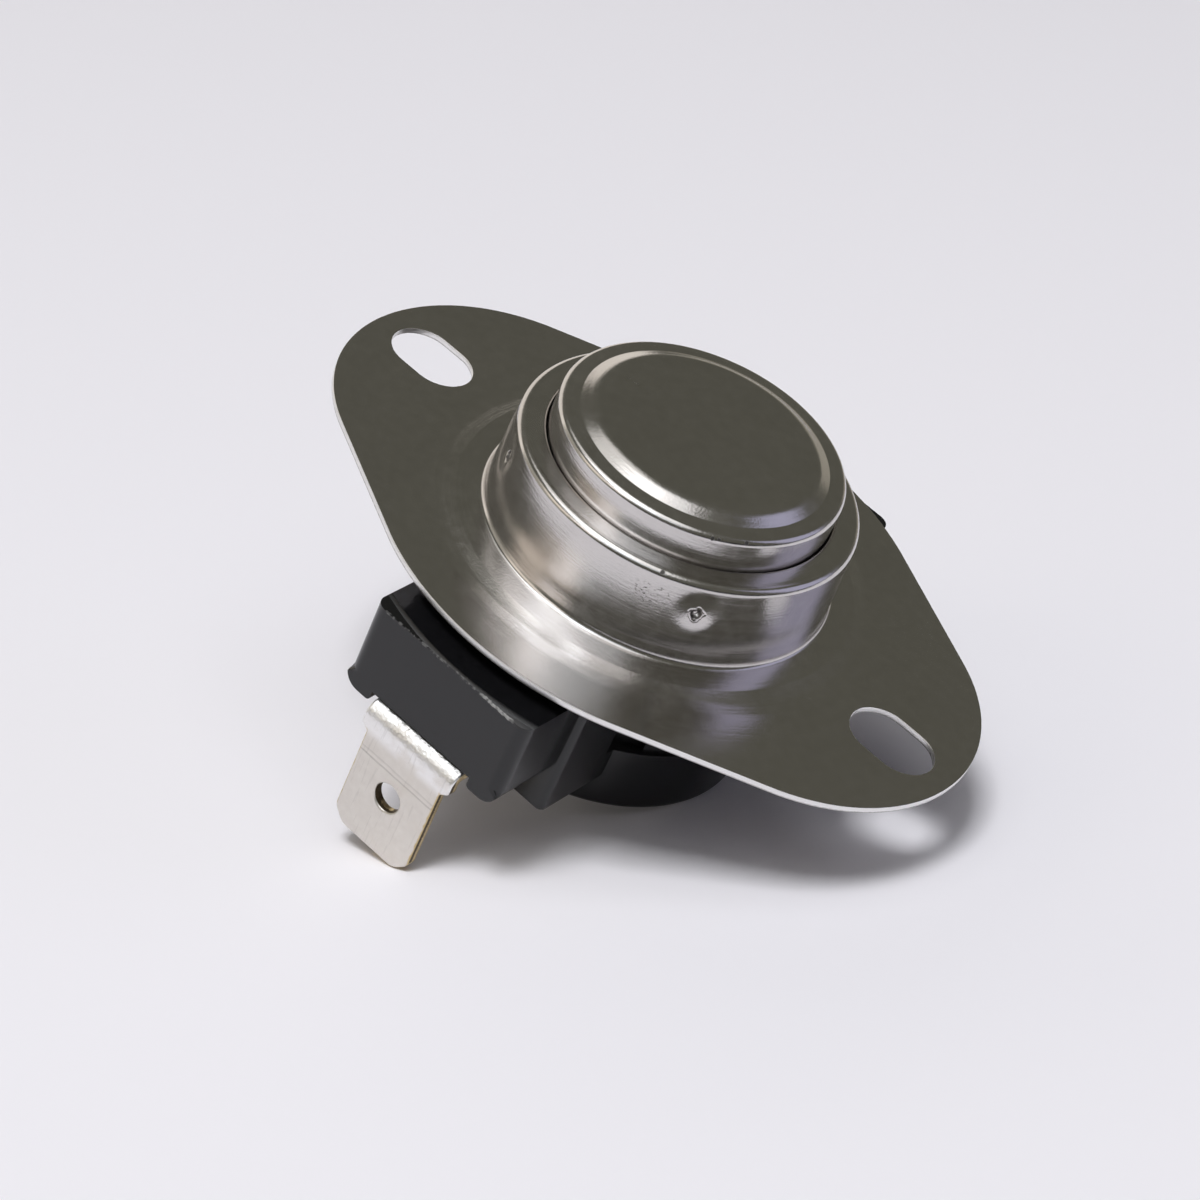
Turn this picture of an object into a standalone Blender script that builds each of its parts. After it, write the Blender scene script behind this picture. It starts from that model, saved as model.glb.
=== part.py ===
"""Snap-disc bimetal thermostat with a slotted mounting flange.

The origin lies on the sensing cap's axis, in the plate's cap-side face. +Z points out of the cap, and
+X runs along the plate. The two terminals leave the housing towards -Y and +Y and bend to point along -Z.
"""
import math

import bmesh
import bpy
from mathutils import Matrix, Vector

MM = 0.001

# Mounting plate. Its outline is two end arcs and two flatter waist arcs, joined by tangents.
SHEET = 0.45 * MM
SLOT_SPACING = 40.5 * MM
SLOT_WIDTH = 4.42 * MM
SLOT_LENGTH = 6.04 * MM
SLOT_MARGIN = 1.62 * MM
END_RADIUS = 12.56 * MM
WAIST_WIDTH = 36.92 * MM
WAIST_RADIUS = 19.8 * MM

# Drawn collar in the middle of the plate, measured on its outside.
COLLAR_FOOT_RADIUS = 11.77 * MM
COLLAR_TAPER = 0.27 * MM
COLLAR_HEIGHT = 6.7 * MM
LIP_DROP = 0.15 * MM
SHOULDER_RADIUS = 0.47 * MM
FOOT_FILLET = 0.5 * MM
RING_HEIGHT = 0.4 * MM
RING_WIDTH = 3.4 * MM
RING_CURVE = 3.0 * MM
RING_EDGE_RADIUS = 0.6 * MM
LIP_CURVE = 1.5 * MM
STAKE_HEIGHT = 4.5 * MM
STAKE_DEPTH = 0.3 * MM
STAKE_RADIUS = 0.4 * MM
STAKE_ANGLE = 44.4

# Sensing cap. It stands in the collar's hole with a small gap all round.
CAP_RADIUS = 9.62 * MM
CAP_SHEET = 0.4 * MM
CAP_CLEARANCE = 0.16 * MM
CAP_STAND = 2.35 * MM
CAP_CENTRE_RADIUS = 8.36 * MM
CAP_CENTRE_SLOPE = 0.92 * MM
CAP_CENTRE_RISE = 0.47 * MM
CAP_CENTRE_CURVE = 1.3 * MM
CAP_FOOT_WIDTH = 1.0 * MM
CAP_FOOT_CURVE = 0.2 * MM
CAP_RIM_DROP = 0.12 * MM
CAP_RIM_RADIUS = 0.42 * MM

# Gap between pieces that touch in the real object.
FIT_GAP = 0.2 * MM
CONTACT_GAP = 0.1 * MM

# Moulded housing: round body, cross bar and a terminal block on each side. SWITCH_ROOM is the height from the
# body's underside to the top of the terminals' feet: its floor, the arm's swing, both contacts and a foot.
BODY_RADIUS = 11.0 * MM
BODY_DEPTH = 13.2 * MM
BODY_STEP = 0.3 * MM
BODY_EDGE = 0.4 * MM
WALL = 2.0 * MM
FLOOR = 1.6 * MM
SWITCH_ROOM = 5.7 * MM
STEP_BELOW_FOOT = 0.8 * MM
BLOCK_REACH = 20.0 * MM
BLOCK_LENGTH = 5.35 * MM
BLOCK_WIDTH = 12.9 * MM
BLOCK_TOP_DEPTH = 1.55 * MM
BLOCK_BELOW_FOOT = 0.65 * MM
BLOCK_CORNER = 0.9 * MM
LEG_CORNER = 1.2 * MM
BAR_WIDTH = 14.3 * MM
BAR_BELOW_BLOCK_TOP = 0.45 * MM
BAR_BELOW_FOOT = 3.2 * MM
BAR_CORNER = 0.5 * MM
NOTCH_WIDTH = 2.5 * MM
NOTCH_DEPTH = 0.9 * MM
NOTCH_ANGLE = 46.0

# Terminals: a foot in the block's groove, a bent shoulder and a blade for a 6.35 mm push-on connector.
BLADE_WIDTH = 6.35 * MM
BLADE_THICKNESS = 0.8 * MM
BLADE_TIP_DEPTH = 17.0 * MM
BLADE_CHAMFER = 0.92 * MM
BLADE_HOLE_RADIUS = 1.0 * MM
BLADE_HOLE_FROM_TIP = 4.3 * MM
SHOULDER_WIDTH = 7.5 * MM
SHOULDER_BELOW_FOOT = 1.6 * MM
BEND_RADIUS = 0.2 * MM
BLADE_PROUD = 0.7 * MM
PAD_WIDTH = 5.0 * MM
GROOVE_CLEARANCE = 0.1 * MM
RIVET_RADIUS = 0.9 * MM
RIVET_HEAD_RADIUS = 1.7 * MM
RIVET_HEAD = 0.5 * MM

# Switch: leaf arm under the rear pad, with a contact that meets the one under the front pad.
ARM_THICKNESS = 0.2 * MM
ARM_WIDTH = 4.2 * MM
ARM_PIVOT_Y = 5.6 * MM
ARM_TAIL = 2.0 * MM
CONTACT_Y = 4.6 * MM
CONTACT_RADIUS = 1.4 * MM
CONTACT_HEAD = 0.6 * MM
CONTACT_SHANK_RADIUS = 0.6 * MM
CLINCH = 0.25 * MM

# Disc, its seat on the pin guide, and the pin.
DISC_THICKNESS = 0.25 * MM
DISC_RISE = 0.45 * MM
DISC_SIDE_GAP = 0.4 * MM
PIN_RADIUS = 1.1 * MM
PIN_DISC_GAP = 0.65 * MM
GUIDE_PLATE = 0.75 * MM
GUIDE_BOSS_RADIUS = 2.6 * MM
GUIDE_BOSS_DEPTH = 1.0 * MM
GUIDE_SEAT_WIDTH = 0.8 * MM
GUIDE_SEAT_DEPTH = 0.65 * MM

# Heights and radii that follow from the sizes above.
END_SPACING = SLOT_SPACING + SLOT_LENGTH + 2 * (SLOT_MARGIN - END_RADIUS)
COLLAR_TOP_RADIUS = COLLAR_FOOT_RADIUS - COLLAR_TAPER
COLLAR_HOLE_RADIUS = CAP_RADIUS + CAP_CLEARANCE
CAP_RING_Z = COLLAR_HEIGHT + CAP_STAND
CAP_TOP_Z = CAP_RING_Z + CAP_CENTRE_RISE
CAP_FOOT_Z = COLLAR_HEIGHT - LIP_DROP - SHEET - FIT_GAP
GUIDE_TOP_Z = CAP_FOOT_Z - CAP_SHEET - FIT_GAP
GUIDE_UNDER_Z = GUIDE_TOP_Z - GUIDE_PLATE
HOUSING_TOP_Z = GUIDE_UNDER_Z - FIT_GAP
DISC_RADIUS = CAP_RADIUS - CAP_SHEET - DISC_SIDE_GAP
DISC_EDGE_Z = CAP_RING_Z - CAP_SHEET - 2 * FIT_GAP - DISC_THICKNESS
SEAT_Z = DISC_EDGE_Z - CONTACT_GAP
PIN_TOP_Z = DISC_EDGE_Z + DISC_RISE - PIN_DISC_GAP
UPPER_RADIUS = BODY_RADIUS - BODY_STEP
CAVITY_RADIUS = BODY_RADIUS - WALL
FOOT_DEPTH = BODY_DEPTH - SWITCH_ROOM
BODY_STEP_DEPTH = FOOT_DEPTH + STEP_BELOW_FOOT
BLOCK_DEPTH = FOOT_DEPTH + BLOCK_BELOW_FOOT
BAR_DEPTH = FOOT_DEPTH + BAR_BELOW_FOOT
SHOULDER_DEPTH = FOOT_DEPTH + SHOULDER_BELOW_FOOT
BAR_REACH = BLOCK_REACH - BLOCK_LENGTH
FOOT_UNDER_Z = -FOOT_DEPTH - BLADE_THICKNESS
BLADE_FRONT_Y = BLOCK_REACH + BLADE_PROUD
BLADE_MIDDLE_Y = BLADE_FRONT_Y - BLADE_THICKNESS / 2
RIVET_Y = (BLOCK_REACH + BAR_REACH) / 2
RIVET_TOP_Z = -(BLOCK_TOP_DEPTH + FOOT_DEPTH) / 3
FIXED_FACE_Z = FOOT_UNDER_Z - CONTACT_GAP / 2 - CONTACT_HEAD
MOVING_FACE_Z = FIXED_FACE_Z - CONTACT_GAP
ARM_ROOT_Z = FOOT_UNDER_Z - FIT_GAP - ARM_THICKNESS / 2
ARM_LOW_Z = MOVING_FACE_Z - CONTACT_HEAD - CONTACT_GAP / 2 - ARM_THICKNESS / 2
ARM_BEND_Y = ARM_PIVOT_Y / 2
FRONT_PAD_Y = CONTACT_Y - RIVET_HEAD_RADIUS - 4 * CONTACT_GAP
REAR_PAD_Y = ARM_PIVOT_Y - RIVET_HEAD_RADIUS - 4 * CONTACT_GAP

ROUND_STEPS = 64
DISC_STEPS = 40
SMALL_STEPS = 20
ARC_STEP = math.radians(30)
THROUGH = 5 * MM


def clear_scene():
    """Start from an empty scene."""
    for thing in list(bpy.data.objects):
        bpy.data.objects.remove(thing, do_unlink=True)


def make_material(name, colour, roughness, metallic):
    """Plain surface with one colour."""
    made = bpy.data.materials.new(name)
    made.use_nodes = True
    shader = made.node_tree.nodes["Principled BSDF"]
    shader.inputs["Base Color"].default_value = (*colour, 1.0)
    shader.inputs["Roughness"].default_value = roughness
    shader.inputs["Metallic"].default_value = metallic
    made.diffuse_color = (*colour, 1.0)
    return made


def finish(shape, name, surface=None, smooth=40.0):
    """Turn a bmesh into a named object with outward faces and smooth round sides."""
    bmesh.ops.recalc_face_normals(shape, faces=shape.faces)
    mesh = bpy.data.meshes.new(name)
    shape.to_mesh(mesh)
    shape.free()
    thing = bpy.data.objects.new(name, mesh)
    bpy.context.collection.objects.link(thing)
    mesh.shade_smooth()
    mesh.set_sharp_from_angle(angle=math.radians(smooth))
    if surface:
        mesh.materials.append(surface)
    return thing


def add_revolved(shape, section, steps, place=None):
    """Add the solid swept by a closed (radius, height) section about Z. A zero radius becomes a pole."""
    rings = []
    for radius, height in section:
        if radius < 1e-9:
            rings.append([shape.verts.new((0, 0, height))])
            continue
        turn = 2 * math.pi / steps
        rings.append([
            shape.verts.new((radius * math.cos(turn * k), radius * math.sin(turn * k), height))
            for k in range(steps)
        ])
    for low, high in zip(rings, rings[1:] + rings[:1]):
        if len(low) == 1 and len(high) == 1:
            continue
        for k in range(steps):
            after = k + 1
            corners = [low[k % len(low)], low[after % len(low)], high[after % len(high)], high[k % len(high)]]
            shape.faces.new(list(dict.fromkeys(corners)))
    if place:
        added = [vert for ring in rings for vert in ring]
        bmesh.ops.transform(shape, matrix=place, verts=added)


def add_prism(shape, outline, low, high, place=None):
    """Add the solid between heights low and high over a closed outline."""
    bottom = [shape.verts.new((x, y, low)) for x, y in outline]
    top = [shape.verts.new((x, y, high)) for x, y in outline]
    shape.faces.new(bottom[::-1])
    shape.faces.new(top)
    for k in range(len(outline)):
        after = (k + 1) % len(outline)
        shape.faces.new([bottom[k], bottom[after], top[after], top[k]])
    if place:
        bmesh.ops.transform(shape, matrix=place, verts=bottom + top)


def add_strip(shape, rows, thickness):
    """Add a bent strip. rows are (y, z, half width) along its middle, from one end to the other."""
    rings = []
    for k, (y, z, half) in enumerate(rows):
        before = Vector(rows[max(k - 1, 0)][:2])
        after = Vector(rows[min(k + 1, len(rows) - 1)][:2])
        here = Vector((y, z))
        into = (here - before).normalized()
        out = (after - here).normalized()
        along = (into + out).normalized()
        side = Vector((-along.y, along.x)) * thickness / 2
        straight = into if into.length > 0 else out
        side /= max(along.dot(straight), 0.5)
        upper = here + side
        lower = here - side
        ring = (
            (-half, upper.x, upper.y), (half, upper.x, upper.y),
            (half, lower.x, lower.y), (-half, lower.x, lower.y),
        )
        rings.append([shape.verts.new(point) for point in ring])
    shape.faces.new(rings[0])
    shape.faces.new(rings[-1])
    for first, second in zip(rings, rings[1:]):
        for k in range(4):
            shape.faces.new([first[k], first[(k + 1) % 4], second[(k + 1) % 4], second[k]])


def rounded(corners, closed=False):
    """Points along (x, y, radius) corners, with an arc in each corner that has a radius."""
    points = []
    count = len(corners)
    for k, (x, y, radius) in enumerate(corners):
        here = Vector((x, y))
        if radius <= 0 or (not closed and k in (0, count - 1)):
            points.append(here)
            continue
        back = (Vector(corners[k - 1][:2]) - here).normalized()
        on = (Vector(corners[(k + 1) % count][:2]) - here).normalized()
        half = back.angle(on) / 2
        centre = here + (back + on).normalized() * radius / math.sin(half)
        start = here + back * radius / math.tan(half) - centre
        end = here + on * radius / math.tan(half) - centre
        first = math.atan2(start.y, start.x)
        turn = math.remainder(math.atan2(end.y, end.x) - first, 2 * math.pi)
        steps = math.ceil(abs(turn) / ARC_STEP)
        for step in range(steps + 1):
            angle = first + turn * step / steps
            points.append(centre + radius * Vector((math.cos(angle), math.sin(angle))))
    return points


def sheet_section(path, thickness):
    """Closed section of a sheet: path is one face, and the other lies to the right of its direction."""
    other = []
    for k, here in enumerate(path):
        into = (here - path[k - 1]).normalized() if k else None
        out = (path[k + 1] - here).normalized() if k < len(path) - 1 else None
        into = into or out
        out = out or into
        along = (into + out).normalized()
        other.append(here + Vector((along.y, -along.x)) * thickness / along.dot(into))
    return path + other[::-1]


def box_outline(half_x, half_y, radius=0.0):
    """Rectangle about the origin with round corners."""
    signs = ((1, -1), (1, 1), (-1, 1), (-1, -1))
    return rounded([(x * half_x, y * half_y, radius) for x, y in signs], closed=True)


def arc(centre_x, centre_y, radius, first, last, steps):
    """Points on an arc between two angles in radians."""
    return [
        Vector((centre_x + radius * math.cos(angle), centre_y + radius * math.sin(angle)))
        for angle in (first + (last - first) * k / steps for k in range(steps + 1))
    ]


def boolean(thing, tool, operation):
    """Join, cut or trim thing by a helper solid, which stays out of renders."""
    step = thing.modifiers.new(f"{operation.lower()} {tool.name}", "BOOLEAN")
    step.operation = operation
    step.solver = "EXACT"
    step.object = tool
    tool.hide_render = True
    tool.display_type = "WIRE"


def facing_forwards():
    """Rotation that stands a flat outline up: its Y becomes Z, and its extrusion runs along Y."""
    return Matrix.Rotation(math.radians(90), 4, "X")


def plate_outline():
    """Outline of the mounting plate."""
    centre_x = END_SPACING / 2
    inset = WAIST_RADIUS - WAIST_WIDTH / 2
    reach = math.hypot(centre_x, inset)
    lean = math.atan2(inset, centre_x) + math.acos((WAIST_RADIUS - END_RADIUS) / reach)
    right = arc(centre_x, 0, END_RADIUS, -lean, lean, 24)
    top = arc(0, -inset, WAIST_RADIUS, lean, math.pi - lean, 14)
    left = arc(-centre_x, 0, END_RADIUS, math.pi - lean, math.pi + lean, 24)
    bottom = arc(0, inset, WAIST_RADIUS, math.pi + lean, 2 * math.pi - lean, 14)
    return right + top + left + bottom


def flange_face():
    """Cap-side face of the flange from the cap's hole outwards, as (radius, height)."""
    lip = COLLAR_TOP_RADIUS - COLLAR_HOLE_RADIUS
    shoulder_z = COLLAR_HEIGHT - LIP_DROP
    ring = COLLAR_FOOT_RADIUS
    plate_reach = END_SPACING / 2 + END_RADIUS + THROUGH
    return rounded([
        (COLLAR_HOLE_RADIUS, COLLAR_HEIGHT, 0),
        (COLLAR_HOLE_RADIUS + 0.55 * lip, shoulder_z + 0.07 * LIP_DROP, LIP_CURVE),
        (COLLAR_TOP_RADIUS, shoulder_z, SHOULDER_RADIUS),
        (COLLAR_FOOT_RADIUS, RING_HEIGHT, FOOT_FILLET),
        (ring + 0.22 * RING_WIDTH, RING_HEIGHT, RING_EDGE_RADIUS),
        (ring + 0.6 * RING_WIDTH, 0.45 * RING_HEIGHT, RING_CURVE),
        (ring + RING_WIDTH, 0, RING_CURVE),
        (plate_reach, 0, 0),
    ])


def stake_cutter():
    """The four dents that are punched into the collar's wall to lock it on the housing."""
    shape = bmesh.new()
    taper = COLLAR_TAPER * STAKE_HEIGHT / COLLAR_HEIGHT
    surface = COLLAR_FOOT_RADIUS - taper
    section = [
        (0, -STAKE_DEPTH),
        (0.5 * STAKE_RADIUS, -0.9 * STAKE_DEPTH),
        (STAKE_RADIUS, -0.55 * STAKE_DEPTH),
        (3.4 * STAKE_RADIUS, 0.1 * STAKE_DEPTH),
        (3.4 * STAKE_RADIUS, 3 * STAKE_DEPTH),
        (0, 3 * STAKE_DEPTH),
    ]
    for k in range(4):
        place = (
            Matrix.Rotation(math.radians(STAKE_ANGLE + 90 * k), 4, "Z")
            @ Matrix.Translation((surface, 0, STAKE_HEIGHT))
            @ Matrix.Rotation(math.radians(90), 4, "Y")
        )
        add_revolved(shape, section, SMALL_STEPS, place)
    return finish(shape, "stake_dents")


def build_flange(surface):
    """Drawn plate and collar in one sheet, trimmed to its outline and slotted.

    The sheet's seams are turned a little, so that none meets a corner of the outline or of a slot.
    """
    shape = bmesh.new()
    seams = Matrix.Rotation(0.37 * 2 * math.pi / ROUND_STEPS, 4, "Z")
    add_revolved(shape, sheet_section(flange_face(), SHEET), ROUND_STEPS, seams)
    flange = finish(shape, "mounting_flange", surface)

    shape = bmesh.new()
    add_prism(shape, plate_outline(), -THROUGH, COLLAR_HEIGHT + THROUGH)
    boolean(flange, finish(shape, "plate_trim"), "INTERSECT")

    shape = bmesh.new()
    straight = (SLOT_LENGTH - SLOT_WIDTH) / 2
    for side in (-1, 1):
        middle = side * SLOT_SPACING / 2
        outline = arc(middle + straight, 0, SLOT_WIDTH / 2, -math.pi / 2, math.pi / 2, 12)
        outline += arc(middle - straight, 0, SLOT_WIDTH / 2, math.pi / 2, 3 * math.pi / 2, 12)
        add_prism(shape, outline, -THROUGH, THROUGH)
    boolean(flange, finish(shape, "screw_slots"), "DIFFERENCE")
    boolean(flange, stake_cutter(), "DIFFERENCE")
    return flange


def build_cap(surface):
    """Drawn cup with a raised centre and a foot flange that the collar's lip holds down."""
    face = rounded([
        (0, CAP_TOP_Z, 0),
        (CAP_CENTRE_RADIUS - CAP_CENTRE_SLOPE, CAP_TOP_Z, CAP_CENTRE_CURVE),
        (CAP_CENTRE_RADIUS, CAP_RING_Z, CAP_FOOT_CURVE),
        (CAP_RADIUS, CAP_RING_Z - CAP_RIM_DROP, CAP_RIM_RADIUS),
        (CAP_RADIUS, CAP_FOOT_Z, CAP_FOOT_CURVE),
        (CAP_RADIUS + CAP_FOOT_WIDTH, CAP_FOOT_Z, 0),
    ])
    shape = bmesh.new()
    add_revolved(shape, sheet_section(face, CAP_SHEET), ROUND_STEPS)
    return finish(shape, "sensing_cap", surface)


def build_disc(surface):
    """Domed bimetal disc, in its cold state with the middle up."""
    bow = (DISC_RADIUS ** 2 + DISC_RISE ** 2) / (2 * DISC_RISE)
    lower = []
    for k in range(7):
        radius = DISC_RADIUS * k / 6
        lower.append((radius, DISC_RISE - bow + math.sqrt(bow ** 2 - radius ** 2)))
    upper = [(radius, height + DISC_THICKNESS) for radius, height in lower]
    shape = bmesh.new()
    add_revolved(shape, lower + upper[::-1], DISC_STEPS)
    disc = finish(shape, "bimetal_disc", surface)
    disc.location.z = DISC_EDGE_Z
    return disc


def build_guide(surface):
    """Moulded plate with the disc's seat above and a long bore for the pin below."""
    bore = PIN_RADIUS + FIT_GAP
    hub = CAP_RADIUS - CAP_SHEET - FIT_GAP
    section = [
        (bore, -GUIDE_BOSS_DEPTH),
        (GUIDE_BOSS_RADIUS, -GUIDE_BOSS_DEPTH),
        (GUIDE_BOSS_RADIUS, GUIDE_UNDER_Z),
        (UPPER_RADIUS - FIT_GAP, GUIDE_UNDER_Z),
        (UPPER_RADIUS - FIT_GAP, GUIDE_TOP_Z),
        (hub, GUIDE_TOP_Z),
        (hub, SEAT_Z),
        (hub - GUIDE_SEAT_WIDTH, SEAT_Z),
        (hub - GUIDE_SEAT_WIDTH, SEAT_Z - GUIDE_SEAT_DEPTH),
        (bore, SEAT_Z - GUIDE_SEAT_DEPTH),
    ]
    shape = bmesh.new()
    add_revolved(shape, section, ROUND_STEPS)
    return finish(shape, "pin_guide", surface)


def build_pin(surface):
    """Ceramic pin between disc and arm. Its origin is at its lower end, on the slide axis."""
    low = ARM_LOW_Z + ARM_THICKNESS / 2 + CONTACT_GAP
    length = PIN_TOP_Z - low
    edge = PIN_RADIUS / 4
    section = [
        (0, 0), (PIN_RADIUS - edge, 0), (PIN_RADIUS, edge),
        (PIN_RADIUS, length - edge), (PIN_RADIUS - edge, length), (0, length),
    ]
    shape = bmesh.new()
    add_revolved(shape, section, SMALL_STEPS)
    pin = finish(shape, "transfer_pin", surface)
    pin.location.z = low
    return pin


def block_solid():
    """Both terminal blocks as one beam: its end view has two short legs with round corners."""
    half = BLOCK_WIDTH / 2
    groove = SHOULDER_WIDTH / 2 + GROOVE_CLEARANCE
    roof = -FOOT_DEPTH + GROOVE_CLEARANCE
    view = rounded([
        (-half, -BLOCK_DEPTH, LEG_CORNER), (-groove, -BLOCK_DEPTH, 0.2 * MM), (-groove, roof, 0),
        (groove, roof, 0), (groove, -BLOCK_DEPTH, 0.2 * MM), (half, -BLOCK_DEPTH, LEG_CORNER),
        (half, -BLOCK_TOP_DEPTH, 0), (-half, -BLOCK_TOP_DEPTH, 0),
    ], closed=True)
    shape = bmesh.new()
    reach = BLOCK_REACH + THROUGH
    add_prism(shape, view, -reach, reach, facing_forwards())
    beam = finish(shape, "block_beam")

    shape = bmesh.new()
    plan = box_outline(half + BLOCK_CORNER / 9, BLOCK_REACH, BLOCK_CORNER)
    add_prism(shape, plan, -BODY_DEPTH, THROUGH)
    boolean(beam, finish(shape, "block_plan"), "INTERSECT")
    return beam


def housing_cuts():
    """Everything that is cut out of the housing after its outer parts are joined."""
    shape = bmesh.new()
    low = FLOOR - BODY_DEPTH
    high = HOUSING_TOP_Z + THROUGH
    add_revolved(shape, [(0, low), (CAVITY_RADIUS, low), (CAVITY_RADIUS, high), (0, high)], ROUND_STEPS)
    cavity = finish(shape, "switch_cavity")

    shape = bmesh.new()
    half = PAD_WIDTH / 2 + FIT_GAP
    low = FOOT_UNDER_Z - FIT_GAP
    high = FIT_GAP - FOOT_DEPTH
    add_prism(shape, box_outline(half, BAR_REACH + 3 * FIT_GAP), low, high)
    passage = finish(shape, "terminal_passage")

    shape = bmesh.new()
    hole = RIVET_RADIUS + FIT_GAP
    high = RIVET_TOP_Z + FIT_GAP
    section = [(0, -BODY_DEPTH), (hole, -BODY_DEPTH), (hole, high), (0, high)]
    for side in (-1, 1):
        add_revolved(shape, section, SMALL_STEPS, Matrix.Translation((0, side * RIVET_Y, 0)))
    holes = finish(shape, "rivet_holes")

    shape = bmesh.new()
    for angle in (NOTCH_ANGLE, -NOTCH_ANGLE, 180 + NOTCH_ANGLE, 180 - NOTCH_ANGLE):
        place = Matrix.Rotation(math.radians(angle), 4, "Z") @ Matrix.Translation((BODY_RADIUS, 0, 0))
        low = -BODY_STEP_DEPTH + BODY_STEP / 6
        add_prism(shape, box_outline(NOTCH_DEPTH, NOTCH_WIDTH / 2), low, -BAR_DEPTH / 4, place)
    notches = finish(shape, "wall_notches")
    return cavity, passage, holes, notches


def build_housing(surface):
    """Moulded switch body with the bar and blocks that carry the terminals."""
    section = rounded([
        (0, -BODY_DEPTH, 0),
        (BODY_RADIUS, -BODY_DEPTH, BODY_EDGE),
        (BODY_RADIUS, -BODY_STEP_DEPTH, 0),
        (UPPER_RADIUS, -BODY_STEP_DEPTH, 0),
        (UPPER_RADIUS, HOUSING_TOP_Z, 0),
        (0, HOUSING_TOP_Z, 0),
    ])
    shape = bmesh.new()
    add_revolved(shape, section, ROUND_STEPS)
    housing = finish(shape, "switch_housing", surface)

    shape = bmesh.new()
    plan = box_outline(BAR_WIDTH / 2, BAR_REACH, BAR_CORNER)
    add_prism(shape, plan, -BAR_DEPTH, -BLOCK_TOP_DEPTH - BAR_BELOW_BLOCK_TOP)
    boolean(housing, finish(shape, "cross_bar"), "UNION")
    boolean(housing, block_solid(), "UNION")
    for tool in housing_cuts():
        boolean(housing, tool, "DIFFERENCE")
    return housing


def build_terminal(name, surface, end_y, hole_y, hole_radius):
    """Bent terminal strip towards -Y. end_y and hole_y place its inner end and the hole near it."""
    middle_z = -FOOT_DEPTH - BLADE_THICKNESS / 2
    bend = BEND_RADIUS + BLADE_THICKNESS / 2
    wide = SHOULDER_WIDTH / 2
    blade = BLADE_WIDTH / 2
    pad = PAD_WIDTH / 2
    slope = wide - blade
    wide_y = BAR_REACH + 4 * FIT_GAP
    rows = [(-end_y, middle_z, pad), (-wide_y + 2 * FIT_GAP, middle_z, pad), (-wide_y, middle_z, wide)]
    corner_y = BLADE_MIDDLE_Y - bend
    for k in range(7):
        angle = math.radians(15 * k)
        rows.append((-corner_y - bend * math.sin(angle), middle_z - bend * (1 - math.cos(angle)), wide))
    rows += [
        (-BLADE_MIDDLE_Y, -SHOULDER_DEPTH, wide),
        (-BLADE_MIDDLE_Y, -SHOULDER_DEPTH - 0.7 * slope, blade),
        (-BLADE_MIDDLE_Y, -BLADE_TIP_DEPTH + BLADE_CHAMFER, blade),
        (-BLADE_MIDDLE_Y, -BLADE_TIP_DEPTH, blade - BLADE_CHAMFER),
    ]
    shape = bmesh.new()
    add_strip(shape, rows, BLADE_THICKNESS)
    terminal = finish(shape, name, surface)

    shape = bmesh.new()
    hole_z = BLADE_HOLE_FROM_TIP - BLADE_TIP_DEPTH
    drills = (
        (BLADE_HOLE_RADIUS, Matrix.Translation((0, -BLADE_MIDDLE_Y, hole_z)) @ facing_forwards()),
        (RIVET_RADIUS + FIT_GAP / 2, Matrix.Translation((0, -RIVET_Y, middle_z))),
        (hole_radius, Matrix.Translation((0, -hole_y, middle_z))),
    )
    reach = 2 * BLADE_THICKNESS
    for radius, place in drills:
        drill = [(0, -reach), (radius, -reach), (radius, reach), (0, reach)]
        add_revolved(shape, drill, SMALL_STEPS, place)
    boolean(terminal, finish(shape, f"{name}_holes"), "DIFFERENCE")
    return terminal


def rivet_shape(shape, low_face, high_face, shank, low_head, high_head, place=None):
    """Add a solid rivet about Z: heads are (radius, height), and the faces are where they press."""
    low_radius, low_height = low_head
    high_radius, high_height = high_head
    section = [
        (0, low_face - low_height), (0.75 * low_radius, low_face - low_height),
        (low_radius, low_face - 0.4 * low_height), (low_radius, low_face), (shank, low_face),
        (shank, high_face), (high_radius, high_face), (high_radius, high_face + 0.4 * high_height),
        (0.75 * high_radius, high_face + high_height), (0, high_face + high_height),
    ]
    add_revolved(shape, section, SMALL_STEPS, place)


def build_terminal_rivet(name, surface, side):
    """Drive rivet that pins a terminal's foot up in its block, in a blind hole."""
    shape = bmesh.new()
    face = FOOT_UNDER_Z - CONTACT_GAP / 2
    tip = RIVET_RADIUS / 3
    section = [
        (0, face - RIVET_HEAD), (0.75 * RIVET_HEAD_RADIUS, face - RIVET_HEAD),
        (RIVET_HEAD_RADIUS, face - 0.4 * RIVET_HEAD), (RIVET_HEAD_RADIUS, face), (RIVET_RADIUS, face),
        (RIVET_RADIUS, RIVET_TOP_Z - tip), (RIVET_RADIUS - tip, RIVET_TOP_Z), (0, RIVET_TOP_Z),
    ]
    add_revolved(shape, section, SMALL_STEPS)
    rivet = finish(shape, name, surface)
    rivet.location.y = side * RIVET_Y
    return rivet


def build_fixed_contact(surface):
    """Contact button whose shank is clinched above the front terminal's inner pad."""
    shape = bmesh.new()
    rivet_shape(
        shape, FOOT_UNDER_Z - CONTACT_GAP / 2, -FOOT_DEPTH + CONTACT_GAP / 2, CONTACT_SHANK_RADIUS,
        (CONTACT_RADIUS, CONTACT_HEAD), (1.6 * CONTACT_SHANK_RADIUS, CLINCH),
    )
    button = finish(shape, "fixed_contact", surface)
    button.location.y = -CONTACT_Y
    return button


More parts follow.
